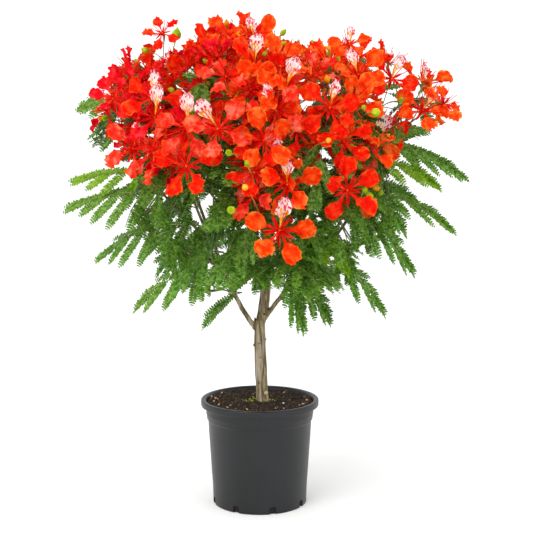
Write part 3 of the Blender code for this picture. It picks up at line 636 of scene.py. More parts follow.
def bark_finish(name, shades, pale, moss):
    """Bark: streaks that run up the limb, paler plates, and a touch of moss green."""
    made = Finish(name)
    streaks = made.noise(210.0, 5.0, (1.0, 1.0, 0.13), 0.65)
    colour = made.ramp(streaks, (0.34, 0.50, 0.66), shades)
    stripes = made.noise(95.0, 2.0, (1.0, 1.0, 0.06))
    plates = made.ramp(stripes, (0.50, 0.62), ((0, 0, 0), (196, 196, 196)))
    colour = made.over(plates, colour, pale)
    patches = made.ramp(made.noise(42.0), (0.54, 0.70), ((0, 0, 0), (150, 150, 150)))
    colour = made.over(patches, colour, moss)
    fine = made.noise(900.0, 4.0, (1.0, 1.0, 0.35), 0.6)
    return made.paint(colour, made.level(streaks, 0.95, 0.72), fine, 0.0009)


def plastic_finish():
    """Moulded black plastic: a soft gloss that dust and handling break up."""
    made = Finish("black_pot_plastic")
    wear = made.noise(9.0, 6.0, (1.0, 1.0, 0.45), 0.6)
    colour = made.ramp(wear, (0.35, 0.7), ((9, 10, 12), (20, 22, 26)))
    gloss = made.level(made.noise(60.0, 5.0, (1.0, 1.0, 0.3)), 0.36, 0.46)
    return made.paint(colour, gloss, made.noise(800.0), 0.00025, specular=0.42)


def soil_finish(name, places, shades, grain=260.0):
    made = Finish(name)
    colour = made.ramp(made.noise(grain, 6.0, rough=0.7), places, shades)
    return made.paint(colour, 0.95, made.noise(420.0, 5.0, rough=0.7), 0.002)


# Node trees that set out what repeats


def new_tree(name, **inputs):
    """A tree that takes a geometry and named inputs, and its input sockets."""
    tree = bpy.data.node_groups.new(name, "GeometryNodeTree")
    for label, kind in {"Geometry": "Geometry", **inputs}.items():
        tree.interface.new_socket(label, in_out="INPUT", socket_type="NodeSocket" + kind)
    tree.interface.new_socket("Geometry", in_out="OUTPUT", socket_type="NodeSocketGeometry")
    return tree, tree.nodes.new("NodeGroupInput").outputs


def named(tree, name, kind="FLOAT"):
    """What each point says under a name."""
    given = {"Name": name}
    return put(tree, "GeometryNodeInputNamedAttribute", given, "Attribute", data_type=kind)


def reckon(tree, operation, *values):
    return put(tree, "ShaderNodeMath", dict(enumerate(values)), operation=operation)


def steer(tree, operation, *ways, **scale):
    given = {**dict(enumerate(ways)), **scale}
    return put(tree, "ShaderNodeVectorMath", given, operation=operation)


def turned(tree, axes, first, second):
    """The turn that brings two of a shape's axes to two directions."""
    settings = {"primary_axis": axes[0], "secondary_axis": axes[1]}
    given = {"Primary Axis": first, "Secondary Axis": second}
    return put(tree, "FunctionNodeAxesToRotation", given, **settings)


def end_tree(tree, geometry, material, smooth=True):
    """Realized instances with their finish."""
    real = put(tree, "GeometryNodeRealizeInstances", {"Geometry": geometry})
    given = {"Geometry": real, "Shade Smooth": smooth}
    given = {"Geometry": put(tree, "GeometryNodeSetShadeSmooth", given), "Material": material}
    put(tree, "NodeGroupOutput", {"Geometry": put(tree, "GeometryNodeSetMaterial", given)})
    return tree


def tubes_along_lines():
    """Round twigs, stalks and ribs along lines, as thick as each point says."""
    tree, given = new_tree("tubes_along_lines", Sides="Int", Finish="Material")
    line = put(tree, "GeometryNodeMeshToCurve", {"Mesh": given["Geometry"]})
    round_form = {"Resolution": given["Sides"], "Radius": 1.0}
    ring = put(tree, "GeometryNodeCurvePrimitiveCircle", round_form)
    form = {"Curve": line, "Profile Curve": ring, "Fill Caps": True}
    form["Scale"] = named(tree, "thickness")
    return end_tree(tree, put(tree, "GeometryNodeCurveToMesh", form), given["Finish"])


def shapes_on_points():
    """One of a set of shapes on each point, turned by the point's own axes."""
    tree, given = new_tree("shapes_on_points", Shapes="Collection", Size="Float", Finish="Material")
    found = {"Collection": given["Shapes"], "Separate Children": True, "Reset Children": True}
    axes = [named(tree, name, "FLOAT_VECTOR") for name in ("facing", "upward")]
    form = {
        "Points": given["Geometry"],
        "Instance": put(tree, "GeometryNodeCollectionInfo", found),
        "Pick Instance": True,
        "Instance Index": named(tree, "kind", "INT"),
        "Rotation": turned(tree, "ZY", *axes),
        "Scale": reckon(tree, "MULTIPLY", named(tree, "size"), given["Size"]),
    }
    return end_tree(tree, put(tree, "GeometryNodeInstanceOnPoints", form), given["Finish"])


def leaflets_on_ribs():
    """Leaflets in pairs along the rib of each pinna, smaller towards its two ends."""
    inputs = {"Leaflet": "Object", "Spacing": "Float", "Length": "Float", "Finish": "Material"}
    tree, given = new_tree("leaflets_on_ribs", **inputs)
    leaflet = put(tree, "GeometryNodeObjectInfo", {"Object": given["Leaflet"]}, "Geometry")
    rib = put(tree, "GeometryNodeMeshToCurve", {"Mesh": given["Geometry"]})
    even = {"Curve": rib, "Length": given["Spacing"]}
    even = {"Curve": put(tree, "GeometryNodeResampleCurve", even, mode="LENGTH")}
    feet = put(tree, "GeometryNodeCurveToPoints", even, mode="EVALUATED").node.outputs
    along, broad = feet["Tangent"], named(tree, "broad", "FLOAT_VECTOR")
    face = steer(tree, "CROSS_PRODUCT", along, broad)
    swell = put(tree, "ShaderNodeFloatCurve", {"Value": named(tree, "along")})
    curve = swell.node.mapping.curves[0]
    curve.points[0].location, curve.points[1].location = LEAFLET_SWELL[0], LEAFLET_SWELL[-1]
    for place in LEAFLET_SWELL[1:-1]:
        curve.points.new(*place)
    swell.node.mapping.update()
    full = reckon(tree, "MULTIPLY", swell, named(tree, "fullness"))
    size = reckon(tree, "MULTIPLY", full, given["Length"])
    # The tilt goes up and down from one leaflet to the next
    count = reckon(tree, "MULTIPLY", put(tree, "GeometryNodeInputIndex"), LEAFLET_WAVE)
    wave = reckon(tree, "SINE", count)
    rise = reckon(tree, "MULTIPLY_ADD", wave, LEAFLET_TILT, LEAFLET_RISE)
    forward = steer(tree, "SCALE", along, Scale=LEAFLET_LEAN)
    lean = steer(tree, "ADD", forward, steer(tree, "SCALE", face, Scale=rise))
    joined = put(tree, "GeometryNodeJoinGeometry")
    for side in (1.0, -1.0):
        way = steer(tree, "ADD", steer(tree, "SCALE", broad, Scale=side), lean)
        turn = turned(tree, "XZ", way, face)
        row = {"Points": feet["Points"], "Instance": leaflet, "Rotation": turn, "Scale": size}
        row = put(tree, "GeometryNodeInstanceOnPoints", row)
        tree.links.new(row, joined.node.inputs["Geometry"])
    return end_tree(tree, joined, given["Finish"], False)


TUBES = tubes_along_lines()
SHAPES = shapes_on_points()
LEAFLETS = leaflets_on_ribs()


def hold(name, mesh, finish=None, collection=None):
    """An object for a mesh, in the scene or in a collection of shapes that isn't shown."""
    made = bpy.data.objects.new(name, mesh)
    (collection or bpy.context.scene.collection).objects.link(made)
    if finish is not None:
        mesh.materials.clear()
        mesh.materials.append(finish)
    return made


def plain_mesh(made, finish=None):
    """The object as it shows with its modifiers, as a plain mesh on a new object."""
    bpy.context.view_layer.update()
    shown = made.evaluated_get(bpy.context.evaluated_depsgraph_get())
    mesh = bpy.data.meshes.new_from_object(shown)
    name = made.name
    bpy.data.objects.remove(made)
    mesh.name = name
    return hold(name, mesh, finish)


def grown(name, tree, mesh, **given):
    """What a node tree makes of the mesh, as a plain mesh."""
    made = hold(name, mesh)
    change = made.modifiers.new("set out", "NODES")
    change.node_group = tree
    for item in tree.interface.items_tree:
        if item.name in given:
            change[item.identifier] = given[item.name]
    return plain_mesh(made)


def rides(piece, slot, *nodes):
    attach(piece, "root")
    if nodes:
        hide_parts(*nodes)
    return piece


@contextmanager
def shaping(mesh):
    """The mesh, open for changes."""
    bm = bmesh.new()
    bm.from_mesh(mesh)
    yield bm
    bm.to_mesh(mesh)
    bm.free()


def mesh_from(name, parts):
    """Several (points, faces) as one mesh."""
    mesh = bpy.data.meshes.new(name)
    points, faces = [], []
    for more, corners in parts:
        start = len(points)
        points.extend(np.asarray(more, float).tolist())
        faces.extend(tuple(start + i for i in face) for face in corners)
    mesh.from_pydata(points, [], faces)
    mesh.update()
    return mesh


def faces_between(rows, columns, closed=True, start=0):
    """The faces between each row of points and the next, closed round or open."""
    faces = []
    for row in range(rows - 1):
        for i in range(columns if closed else columns - 1):
            a, b = (start + row * columns + k for k in (i, (i + 1) % columns))
            faces.append((a, b, b + columns, a + columns))
    return faces


def add_attribute(mesh, name, kind, values):
    made = mesh.attributes.new(name, kind, "POINT")
    flat = np.asarray(values, int if kind == "INT" else float).ravel()
    made.data.foreach_set("vector" if kind == "FLOAT_VECTOR" else "value", flat)


def line_mesh(name, lines, **attributes):
    """Lines of points as one mesh of edges, with attributes for each point."""
    points, edges = [], []
    for line in lines:
        start = len(points)
        points.extend(np.asarray(line, float).tolist())
        edges.extend((i, i + 1) for i in range(start, len(points) - 1))
    mesh = bpy.data.meshes.new(name)
    mesh.from_pydata(points, edges, [])
    for key, (kind, values) in attributes.items():
        add_attribute(mesh, key, kind, np.concatenate(values))
    return mesh


def point_mesh(name, rows):
    """Points with their axes, size and kind, from rows (place, facing, upward, size, kind)."""
    mesh = bpy.data.meshes.new(name)
    places, *columns = zip(*rows)
    mesh.from_pydata([tuple(place) for place in places], [], [])
    kinds = ("FLOAT_VECTOR", "FLOAT_VECTOR", "FLOAT", "INT")
    for key, kind, values in zip(("facing", "upward", "size", "kind"), kinds, columns):
        add_attribute(mesh, key, kind, values)
    return mesh


def shape_set(name, meshes):
    """A collection of shapes that is not shown in the scene."""
    collection = bpy.data.collections.new(name)
    for i, mesh in enumerate(meshes):
        hold(f"{name}_{i:02d}", mesh, collection=collection)
    return collection


def build_tubes(name, lines, radii, sides, finish, slot, *nodes):
    """Twigs, stalks or ribs along their lines, as one piece."""
    source = line_mesh(name, lines, thickness=("FLOAT", radii))
    return rides(grown(name, TUBES, source, Sides=sides, Finish=finish), slot, *nodes)


def build_shapes(name, rows, shapes, finish, slot, *nodes):
    """Shapes at their places, as one piece."""
    made = grown(name, SHAPES, point_mesh(name, rows), Shapes=shapes, Size=1.0, Finish=finish)
    return rides(made, slot, *nodes)


# The rule of growth


class Limb:
    """A line of points, each with its radius."""

    def __init__(self, points, radii=()):
        self.points, self.radii = points, radii

    def at(self, share):
        place = clamp(share) * (len(self.points) - 1)
        i = min(int(place), len(self.points) - 2)
        return self.points[i].lerp(self.points[i + 1], place - i)

    def nearest(self, point):
        """The point of the limb that is nearest to a point, and its distance."""
        found = []
        for a, b in zip(self.points, self.points[1:]):
            way = b - a
            foot = a + way * clamp((point - a).dot(way) / way.length_squared)
            found.append((foot, (point - foot).length))
        return min(found, key=lambda pair: pair[1])


def arc(start, end, lift, steps):
    """A line from start to end that rises by the lift at its middle."""
    control = (start + end) / 2 + Vector((0.0, 0.0, 2 * lift))
    return [
        start * (1 - t) ** 2 + control * 2 * t * (1 - t) + end * t**2
        for t in (i / steps for i in range(steps + 1))
    ]


def in_crown(point, spare=0.0):
    """Whether the point lies inside the crown's outline."""
    away = point - CROWN_MIDDLE
    across = math.hypot(away.x / (CROWN_HALF_WIDTH + spare), away.y / (CROWN_HALF_DEPTH + spare))
    high = away.z > 0
    roundness = DOME_ROUNDNESS if high else BOWL_ROUNDNESS
    reach = (CROWN_RISE if high else CROWN_DROP) + spare
    return across**roundness + (abs(away.z) / reach) ** roundness < 1


def way_to_outline(start, way):
    low, high = 0.0, 2 * CROWN_HALF_WIDTH
    for _ in range(20):
        middle = (low + high) / 2
        if in_crown(start + way * middle):
            low = middle
        else:
            high = middle
    return low


def trunk_line():
    """The trunk's line and radii, from the root flare to the fork."""
    foot = SOIL_LEVEL + GAP
    line, radii = [], []
    for i in range(49):
        z = foot + (FORK_HEIGHT - foot) * i / 48
        lean = math.sin((z - foot) / (FORK_HEIGHT - foot) * math.pi / 2)
        flare = max(1 - (z - foot) / FLARE_HEIGHT, 0.0) ** 2
        rise = max((z - foot - FLARE_HEIGHT) / (FORK_HEIGHT - foot - FLARE_HEIGHT), 0.0)
        line.append(Vector((mix(TRUNK_FOOT_X, 0.0, lean), 0.0, z)))
        radii.append(mix(FOOT_RADIUS, FORK_RADIUS, rise) + (FLARE_RADIUS - FOOT_RADIUS) * flare)
    return Limb(line, radii)


def grow_limbs():
    """The trunk, every bough, and every branch with its stem up to the hub of its mass."""
    limbs = {"trunk": trunk_line()}
    for name, (parent, share, tip, lift, *radii) in BOUGHS.items():
        line = arc(limbs[parent].at(share), Vector(tip), lift, 30)
        limbs[name] = Limb(line, taper(*radii, 30))
    for name, (parent, share, hub, _, _) in MASSES.items():
        line = arc(limbs[parent].at(share), Vector(hub), BRANCH_LIFT, 16)
        rng = random.Random(f"{SEED} branch {name}")
        radii = taper(BRANCH_RADIUS, STEM_RADIUS, 16)
        limbs[name] = Limb(line, [radius * (1 + rng.uniform(-0.07, 0.10)) for radius in radii])
    return limbs


LIMBS = grow_limbs()
HUBS = {name: Vector(row[2]) for name, row in MASSES.items()}


def masses_of(kind):
    return [name for name in MASSES if name.startswith(kind)]


def nearest_hub(point, kind):
    return min(masses_of(kind), key=lambda name: (HUBS[name] - point).length)


def sight(across, up):
    """The line of sight from the camera through a place on the plane y = 0."""
    return (Vector((across, 0.0, up)) - CAMERA_PLACE).normalized()


def seen(point):
    """Across and up, where the line of sight through a point crosses the plane y = 0."""
    way = point - CAMERA_PLACE
    place = CAMERA_PLACE - way * (CAMERA_PLACE.y / way.y)
    return place.x, place.z


def height_at(rows, across):
    return np.interp(across, *zip(*rows))


def over_gap(point, gaps=SKY_GAPS):
    """Whether a point lies in front of or behind one of the gaps."""
    x, z = seen(point)
    return any(math.hypot(x - row[0], z - row[1]) < row[2] + GAP_MARGIN for row in gaps)


class Blossom:
    """Where one blossom sits and how it is turned."""

    def __init__(self, middle, facing, roll, size, mass, banner):
        self.middle = middle
        self.facing = facing.normalized()
        self.up = Matrix.Rotation(roll, 3, self.facing) @ BLOSSOM_UP
        self.size, self.mass, self.banner = size, mass, banner

    def ways(self, count):
        """Directions evenly round it, from the upper petal on, as far as petals reach."""
        out = self.facing.normalized()
        across = self.up.cross(out).normalized()
        up = out.cross(across)
        angles = [math.radians(90 + 360 // count * step) for step in range(count)]
        return [between(across, up, turn) * BLOSSOM_REACH for turn in angles]

    def covers_gap(self):
        """Whether one of its petals hides a gap."""
        return any(
            over_gap(self.middle + way * self.size * share, SKY_GAPS + LEAF_GAPS)
            for way in self.ways(5)
            for share in (0.25, 0.6, 0.85)
        )

    def fits(self):
        """Whether its petals keep to the crown, and to the blossom's top and hem."""
        if self.covers_gap():
            return False
        for step, way in enumerate(self.ways(10)):
            tip = self.middle + way * self.size * (0.78 if step % 2 else 1.0)
            if not in_crown(tip, OUTLINE_MARGIN):
                return False
            raised = self.middle + way * 0.72 * self.size + self.facing * 0.028 * self.size
            for x, z in (seen(tip), seen(raised)):
                if not height_at(BLOSSOM_HEM, x) < z < height_at(BLOSSOM_TOP, x):
                    return False
        return True


def front_blossoms(rng):
    """The blossoms that face the front, each on the line of sight through its place."""
    made = []
    for across, up, depth, size, banner in FRONT_BLOSSOMS:
        way = sight(across, up)
        point = CAMERA_PLACE.copy()
        while (not in_crown(point, -depth) or point.y < -BLOSSOM_FRONT) and point.y < 0.0:
            point += way * SIGHT_STEP
        facing = (point - CROWN_MIDDLE).normalized() * 0.55 + Vector((0.0, -0.8, 0.12))
        facing += stray(rng, 0.10)
        roll = rng.uniform(-0.3, 0.3)
        mass = nearest_hub(point, "blossom")
        for turn in (0.0, 0.2, -0.2, 0.4, -0.4, 0.6, -0.6):
            blossom = Blossom(point, facing, roll + turn, size, mass, banner)
            if not blossom.covers_gap():
                break
        made.append(blossom)
    return made


def rule_blossoms(rng, made):
    """Blossoms through the outer layer of each mass, the widest apart first."""
    for name, (_, _, _, count, _) in MASSES.items():
        hub = HUBS[name]
        own = sum(b.mass == name for b in made)
        for spacing in BLOSSOM_SPACINGS:
            for attempt in range(900):
                if own >= count:
                    break
                shares = [(attempt * step + spacing * 9) % 1.0 * 2 - 1 for step in EVEN_STEPS]
                middle = hub + Vector(shares) * SEARCH_REACH
                outer, inner = BLOSSOM_DEPTH
                if (
                    not in_crown(middle, -outer)
                    or in_crown(middle, -inner)
                    or nearest_hub(middle, "") != name
                    or abs(middle.y) > BLOSSOM_FRONT
                    or any((middle - b.middle).length < spacing for b in made)
                ):
                    continue
                out = (middle - CROWN_MIDDLE).normalized() + (middle - hub).normalized() * HUB_PULL
                facing = out.normalized() + stray(rng, FACING_JITTER)
                size = rng.uniform(*BLOSSOM_SIZES)
                roll = rng.uniform(-0.7, 0.7)
                banner = rng.random() < BANNER_SHARE
                blossom = Blossom(middle, facing, roll, size, name, banner)
                if blossom.fits():
                    made.append(blossom)
                    own += 1
    return made


# Parts of a blossom


def petal_grid(rng, width, ruffle):
    """A petal along +Y, a narrow claw and a round limb ruffled at its edge, with its zones."""
    waves = [rng.uniform(0, 6.28) for _ in range(4)]
    fold = rng.uniform(*PETAL_FOLD)
    curl = rng.uniform(*PETAL_CURL)
    twist = rng.uniform(*PETAL_TWIST)
    rows = list(CLAW_ROWS)
    for turn in map(math.radians, LIMB_TURNS):
        rows.append((LIMB_MIDDLE + LIMB_HALF_LENGTH * math.sin(turn), width * math.cos(turn)))
    points, zones = [], []
    for height, half in rows:
        blade = clamp((height - 0.025) / 0.016)
        for i in range(PETAL_COLUMNS):
            x, y = (i / (PETAL_COLUMNS - 1) * 2 - 1) * half, height
            spot = x / width, (y - LIMB_MIDDLE) / LIMB_HALF_LENGTH
            out, turn = math.hypot(*spot), math.atan2(*spot)
            zones.append((out, y))
            edge = blade * min(out, 1.0) ** 2
            broad, fine = math.sin(4 * turn + waves[0]), math.sin(10 * turn + waves[1])
            swell = 1 + edge * (0.025 * broad + 0.035 * fine)
            x *= swell
            y = LIMB_MIDDLE + (y - LIMB_MIDDLE) * swell
            broad, fine = math.sin(5 * turn + waves[2]), math.sin(10 * turn + waves[3])
            z = ruffle * edge * (0.7 * broad + 0.8 * fine)
            z += blade * fold * (x / width) ** 2 + 0.0012 * blade * math.sin(900 * x + 40 * y)
            lean = twist * y / LIMB_MIDDLE
            cos, sin = math.cos(lean), math.sin(lean)
            x, z = x * cos - z * sin, z * cos + x * sin
            points.append((x, y, z + (0.006 * y / LIMB_MIDDLE + curl * y * y)))
    faces = {"claw": [], "blade": [], "rim": []}
    for corners in faces_between(len(rows), PETAL_COLUMNS, False):
        out, y = (sum(zones[c][k] for c in corners) / 4 for k in (0, 1))
        zone = "blade"
        if y < CLAW_ROWS[-1][0] + 0.003:
            zone = "claw"
        elif out > RIM_SHARE and y > LIMB_MIDDLE - 0.4 * LIMB_HALF_LENGTH:
            zone = "rim"
        faces[zone].append(corners)
    return np.array(points), faces


def turned_petal(points, heading, tilt, scale=1.0):
    """The petal swung from +Y to a heading round the middle, and tipped forward."""
    swing = Matrix.Rotation(heading - math.pi / 2, 3, "Z")
    turn = np.array(swing @ Matrix.Rotation(tilt, 3, "X"))
    return points @ turn.T * scale


def parted(name, parts):
    """Several (points, faces) as one mesh, without the points that no face uses."""
    mesh = mesh_from(name, parts)
    with shaping(mesh) as bm:
        loose = [v for v in bm.verts if not v.link_faces]
        bmesh.ops.delete(bm, geom=loose, context="VERTS")
    return mesh


def petal_meshes(rng, first):
    """The red petals of each kind of blossom, parted into claws, blades and rims."""
    kinds = [
        petal_grid(rng, LIMB_HALF_WIDTH, rng.uniform(*PETAL_RUFFLE)) for _ in range(PETAL_KINDS)
    ]
    made = {"claw": [], "blade": [], "rim": []}
    for k in range(BLOSSOM_KINDS):
        parts = {zone: [] for zone in made}
        for petal in range(first, 5):
            points, faces = kinds[(k * 5 + petal * 2) % PETAL_KINDS]
            heading = math.radians(90 + 72 * petal) + rng.uniform(-0.22, 0.22)
            tilt = rng.uniform(*PETAL_TILT)
            spread = turned_petal(points, heading, tilt, rng.uniform(*PETAL_SIZES))
            for zone, chosen in faces.items():
                parts[zone].append((spread, chosen))
        for zone, found in parts.items():
            made[zone].append(parted(f"{zone}_{first}_{k}", found))
    return made


def banner_meshes(rng):
    """The upper petal of each kind, parted into white, crimson and yellow faces."""
    made = {"white": [], "crimson": [], "yellow": []}
    for k in range(BLOSSOM_KINDS):
        points, faces = petal_grid(rng, BANNER_HALF_WIDTH, BANNER_RUFFLE)
        heading = math.radians(90) + rng.uniform(-0.12, 0.12)
        tilt = rng.uniform(*BANNER_TILT)
        points = turned_petal(points, heading, tilt, rng.uniform(*BANNER_SIZES))
        shares = {"white": [], "crimson": [], "yellow": faces["claw"]}
        for number, face in enumerate(faces["blade"]):
            throat = number < THROAT_FACES
            share = THROAT_YELLOW - THROAT_FADE * number if throat else BLADE_CRIMSON
            shade = "yellow" if throat else "crimson"
            shares[shade if rng.random() < share else "white"].append(face)
        for face in faces["rim"]:
            shares["crimson" if rng.random() < RIM_CRIMSON else "white"].append(face)
        for kind, chosen in shares.items():
            made[kind].append(parted(f"banner_{kind}_{k}", [(points, chosen)]))
    return made


def hides_front(point):
    """Whether a point lies before the middle of a blossom that faces the front."""
    x, z = seen(point)
    return point.y < 0 and any(
        math.hypot(x - row[0], z - row[1]) < BLOSSOM_REACH * 0.45 for row in FRONT_BLOSSOMS
    )


def sepal_meshes(lift):
    """Five narrow sepals between the petals, or their green backs a hair behind them."""
    rng = random.Random("sepals")
    made = []
    for k in range(BLOSSOM_KINDS):
        parts = []
        for sepal in range(5):
            heading = math.radians(126 + 72 * sepal) + rng.uniform(-0.1, 0.1)
            length = rng.uniform(0.025, 0.030)
            bend = rng.uniform(-0.004, 0.003)
            points = [
                (u * half, 0.002 + v * length, bend * v * v + 0.0012 * abs(u) + lift)
                for v, half in SEPAL_ROWS
                for u in (-1, 0, 1)
            ]
            faces = faces_between(len(SEPAL_ROWS), 3, False)
            parts.append((turned_petal(np.array(points), heading, 0.08), faces))
        made.append(mesh_from(f"sepals_{k}", parts))
    return made


def egg(length, width, rings, sides, ridge=0.0):
    """An egg along +Z from its foot at the origin, with low ridges."""
    points = [(0.0, 0.0, 0.0)]
    for t in (j / rings for j in range(1, rings)):
        radius = width / 2 * math.sin(math.pi * t**0.85)
        for turn in turns(sides):
            r = radius * (1 + ridge * math.cos(5 * turn))
            points.append((r * math.cos(turn), r * math.sin(turn), length * t))
    points.append((0.0, 0.0, length))
    top = len(points) - 1
    base = top - sides
    faces = [(0, 1 + (i + 1) % sides, 1 + i) for i in range(sides)]
    faces += faces_between(rings - 1, sides, start=1)
    faces += [(base + i, base + (i + 1) % sides, top) for i in range(sides)]
    return np.array(points), faces


def stamen_meshes(rng, finish):
    """Ten filaments that sweep out and curve forward, and an anther at the end of each."""
    filaments, anthers = [], []
    radii = [FILAMENT_RADII] * STAMENS
    for k in range(BLOSSOM_KINDS):
        lines = []
        for i in range(STAMENS):
            heading = 2 * math.pi * (i + rng.uniform(-0.3, 0.3)) / STAMENS
            reach = rng.uniform(0.024, 0.040)
            rise = rng.uniform(0.012, 0.036)
            line = []
            for t in (0.0, 0.25, 0.5, 0.75, 1.0):
                out = 0.002 + reach * t
                up = 0.002 + rise * t**1.6 + 0.006 * t
                line.append((out * math.cos(heading), out * math.sin(heading), up))
            lines.append(line)
        source = line_mesh(f"filaments_{k}", lines, thickness=("FLOAT", radii))
        tube = grown(f"filaments_{k}", TUBES, source, Sides=3, Finish=finish)
        filaments.append(tube.data.copy())
        bpy.data.objects.remove(tube)
        points, faces = egg(*ANTHER, 3, 4)
        parts = [(points - (0, 0, 0.002) + np.array(line[-1]), faces) for line in lines]
        anthers.append(mesh_from(f"anthers_{k}", parts))
    return filaments, anthers


# Leaves


class Leaf:
    """A feathered leaf: the line of its rachis and the ribs of its pinnae."""

    def __init__(self, root, tip, arch, shade, rng, droop, inner=False, opening=1.0):
        self.shade = shade
        open_share = min(1.0, (opening - NARROW_OPENING) / FULL_OPENING)
        self.fullness = mix(LEAST_FULLNESS, 1.0, open_share)
        self.line = arc(root, tip, arch, RACHIS_TAPER[-1])
        limb = Limb(self.line)
        self.ribs, self.broads = [], []
        length = (tip - root).length
        side = (tip - root).cross(UP).normalized()
        # The plane of a leaf that runs sideways rolls to show its face outwards
        roll = LEAF_ROLL * side.y * (1 if tip.y < 0.06 else -1)
        pairs = max(4, round(length * (1 - PETIOLE_SHARE) / PINNA_SPACING) + 1)
        for place in (pair / (pairs - 1) for pair in range(pairs)):
            share = mix(PETIOLE_SHARE, LAST_PINNA, place)
            foot = limb.at(share)
            forward = (limb.at(share + 0.03) - limb.at(share - 0.03)).normalized()
            spread = mix(*PINNA_SPREAD, place**1.1) * opening
            reach = PINNA_LENGTH * (0.72 + 0.32 * math.sin(math.pi * min(place + 0.12, 1.0)))
            reach *= min(1.0, 0.55 + length * 2.2)
            for way in (-1, 1):
                hang_turn = droop * (1 - 0.6 * place) - roll * way + rng.uniform(-0.12, 0.12)
                turn = spread + rng.uniform(-0.10, 0.10)
                # Pinnae on the far side lie forward along the rachis and rise a little
                far_side = roll * way > 0.2
                if far_side:
                    turn *= FAR_TURN
                    hang_turn = FAR_HANG
                direction = between(forward, between(side * way, -UP, hang_turn), turn)
                far = reach * rng.uniform(0.90, 1.06)
                sag = UP * PINNA_SAG * (1 - 0.7 * place)
                rib = [foot + direction * far * t - sag * t * t for t in PINNA_SHARES]
                if inner and (not fits_inner(rib[-1]) or any(map(over_gap, rib[1:]))):
                    continue
                if far_side:
                    face = side * (-0.8 if roll * side.y > 0 else 0.8) + UP * 0.9
                    broad = direction.cross(face).normalized()
                else:
                    broad = (forward - direction * forward.dot(direction)).normalized() * way
                self.ribs.append(rib)
                self.broads.append(broad)
        self.whole = len(self.ribs) > pairs


def fits_inner(tip):
    """Whether a pinna's tip keeps to the crown, and to what the edge leaves leave of it."""
    x, z = seen(tip)
    if z < height_at(LEAF_HEM, x) or over_gap(tip) or not in_crown(tip, OUTLINE_MARGIN):
        return False
    across, up = x - INNER_MIDDLE[0], z - INNER_MIDDLE[1]
    behind = max(INNER_MIDDLE[1] + 0.1, height_at(BLOSSOM_HEM, x) + 0.01)
    return (
        math.hypot(across / INNER_HALVES[0], up / INNER_HALVES[1]) < 1
        or behind < z < height_at(BLOSSOM_TOP, x) - 0.04
    )


def rule_leaves(rng):
    """Leaves up each mass's stem that fan out towards the crown's outline."""
    made = []
    for name, (_, _, _, _, count) in MASSES.items():
        out = HUBS[name] - CROWN_MIDDLE
        blossoming = name.startswith("blossom")
        slopes = BLOSSOM_LEAF_SLOPE if blossoming else LEAF_SLOPE
        inset = BLOSSOM_LEAF_INSET if blossoming else LEAF_INSET
        # Leaves among the blossoms take the deep and dark greens, as painted shade inside the crown
        shades = (3, 4, 3) if blossoming else (2, 3, 1, 2, 3)
        kept = 0
        for attempt in range(300):
            if kept == count:
                break
            along, turn, rise = [(attempt * step + EVEN_START) % 1.0 for step in EVEN_STEPS]
            share = mix(0.55, 1.0, mix(*LEAF_ROOTS, along)) if kept > 1 else 1.0 - 0.03 * kept
            root = LIMBS[name].at(share)
            heading = math.atan2(out.y, out.x) + mix(-LEAF_FAN, LEAF_FAN, turn)
            slope = math.tan(mix(*slopes, rise))
            way = Vector((math.cos(heading), math.sin(heading), slope)).normalized()
            reach = min(way_to_outline(root, way) - inset, LEAF_REACH[1])
            arch = rng.uniform(*LEAF_ARCH)
            if reach < LEAF_REACH[0]:
                continue
            shade, droop = shades[kept % len(shades)], rng.uniform(*PINNA_DROOP)
            leaf = Leaf(root, root + way * reach, arch, shade, rng, droop, True)
            if leaf.whole:
                made.append((leaf, name))
                kept += 1
    return made


def edge_leaves(rng):
    made = []
    for name, root, tip, arch, shade, droop, opening in EDGE_LEAVES:
        start, end = Vector(root), Vector(tip)
        way = end - start
        last = end - way.normalized() * min(PINNA_LENGTH * 0.66, way.length * 0.4)
        made.append((Leaf(start, last, arch, shade, rng, droop, opening=opening), name))
    return made


def side_leaves(rng):
    made = []
    for number, (across, near, far, high, low, droop) in enumerate(SIDE_TIERS):
        for side, name in ((-1, "foliage_left"), (1, "foliage_right")):
            for way in (-1, 1):
                shift = stray(rng, 0.02)
                root = Vector((side * across, way * near, high)) + shift
                tip = Vector((side * (across + 0.015), way * far, low)) + shift
                shade = (2, 3, 1)[(number + (way > 0)) % 3]
                made.append((Leaf(root, tip, SIDE_ARCH, shade, rng, droop, True), name))
    return made


def leaflet_shape():
    """One leaflet along +X, a metre long, folded a little along its midrib."""
    half = LEAFLET_WIDTH / LEAFLET_LENGTH / 2
    points = [(0.0, 0.0, 0.0), (1.0, 0.0, -0.05)]
    for side in (half, -half):
        points += [(0.08, side, 0.03), (0.78, side * 0.76, 0.04)]
    made = hold("leaflet", mesh_from("leaflet", [(points, [(0, 1, 3, 2), (0, 4, 5, 1)])]))
    made.hide_render = True
    return made


# Bark


def limb_tube(limb, sides):
    """A closed tube of rings round a limb."""
    points = []
    across = Vector((1.0, 0.0, 0.0))
    last = len(limb.points) - 1
    for i, (point, radius) in enumerate(zip(limb.points, limb.radii)):
        along = (limb.points[min(i + 1, last)] - limb.points[max(i - 1, 0)]).normalized()
        x = (across - along * across.dot(along)).normalized()
        y = along.cross(x)
        points += [tuple(point + between(x, y, turn) * radius) for turn in turns(sides)]
    ends = [tuple(reversed(range(sides))), tuple(range(last * sides, (last + 1) * sides))]
    return points, faces_between(last + 1, sides) + ends


def ball(middle, size, stretch=(1.0, 1.0, 1.0)):
    bm = bmesh.new()
    bmesh.ops.create_icosphere(bm, subdivisions=3, radius=size)
    points = [
        tuple(Vector(middle) + Vector([a * b for a, b in zip(v.co, stretch)])) for v in bm.verts
    ]
    faces = [tuple(v.index for v in f.verts) for f in bm.faces]
    bm.free()
    return points, faces


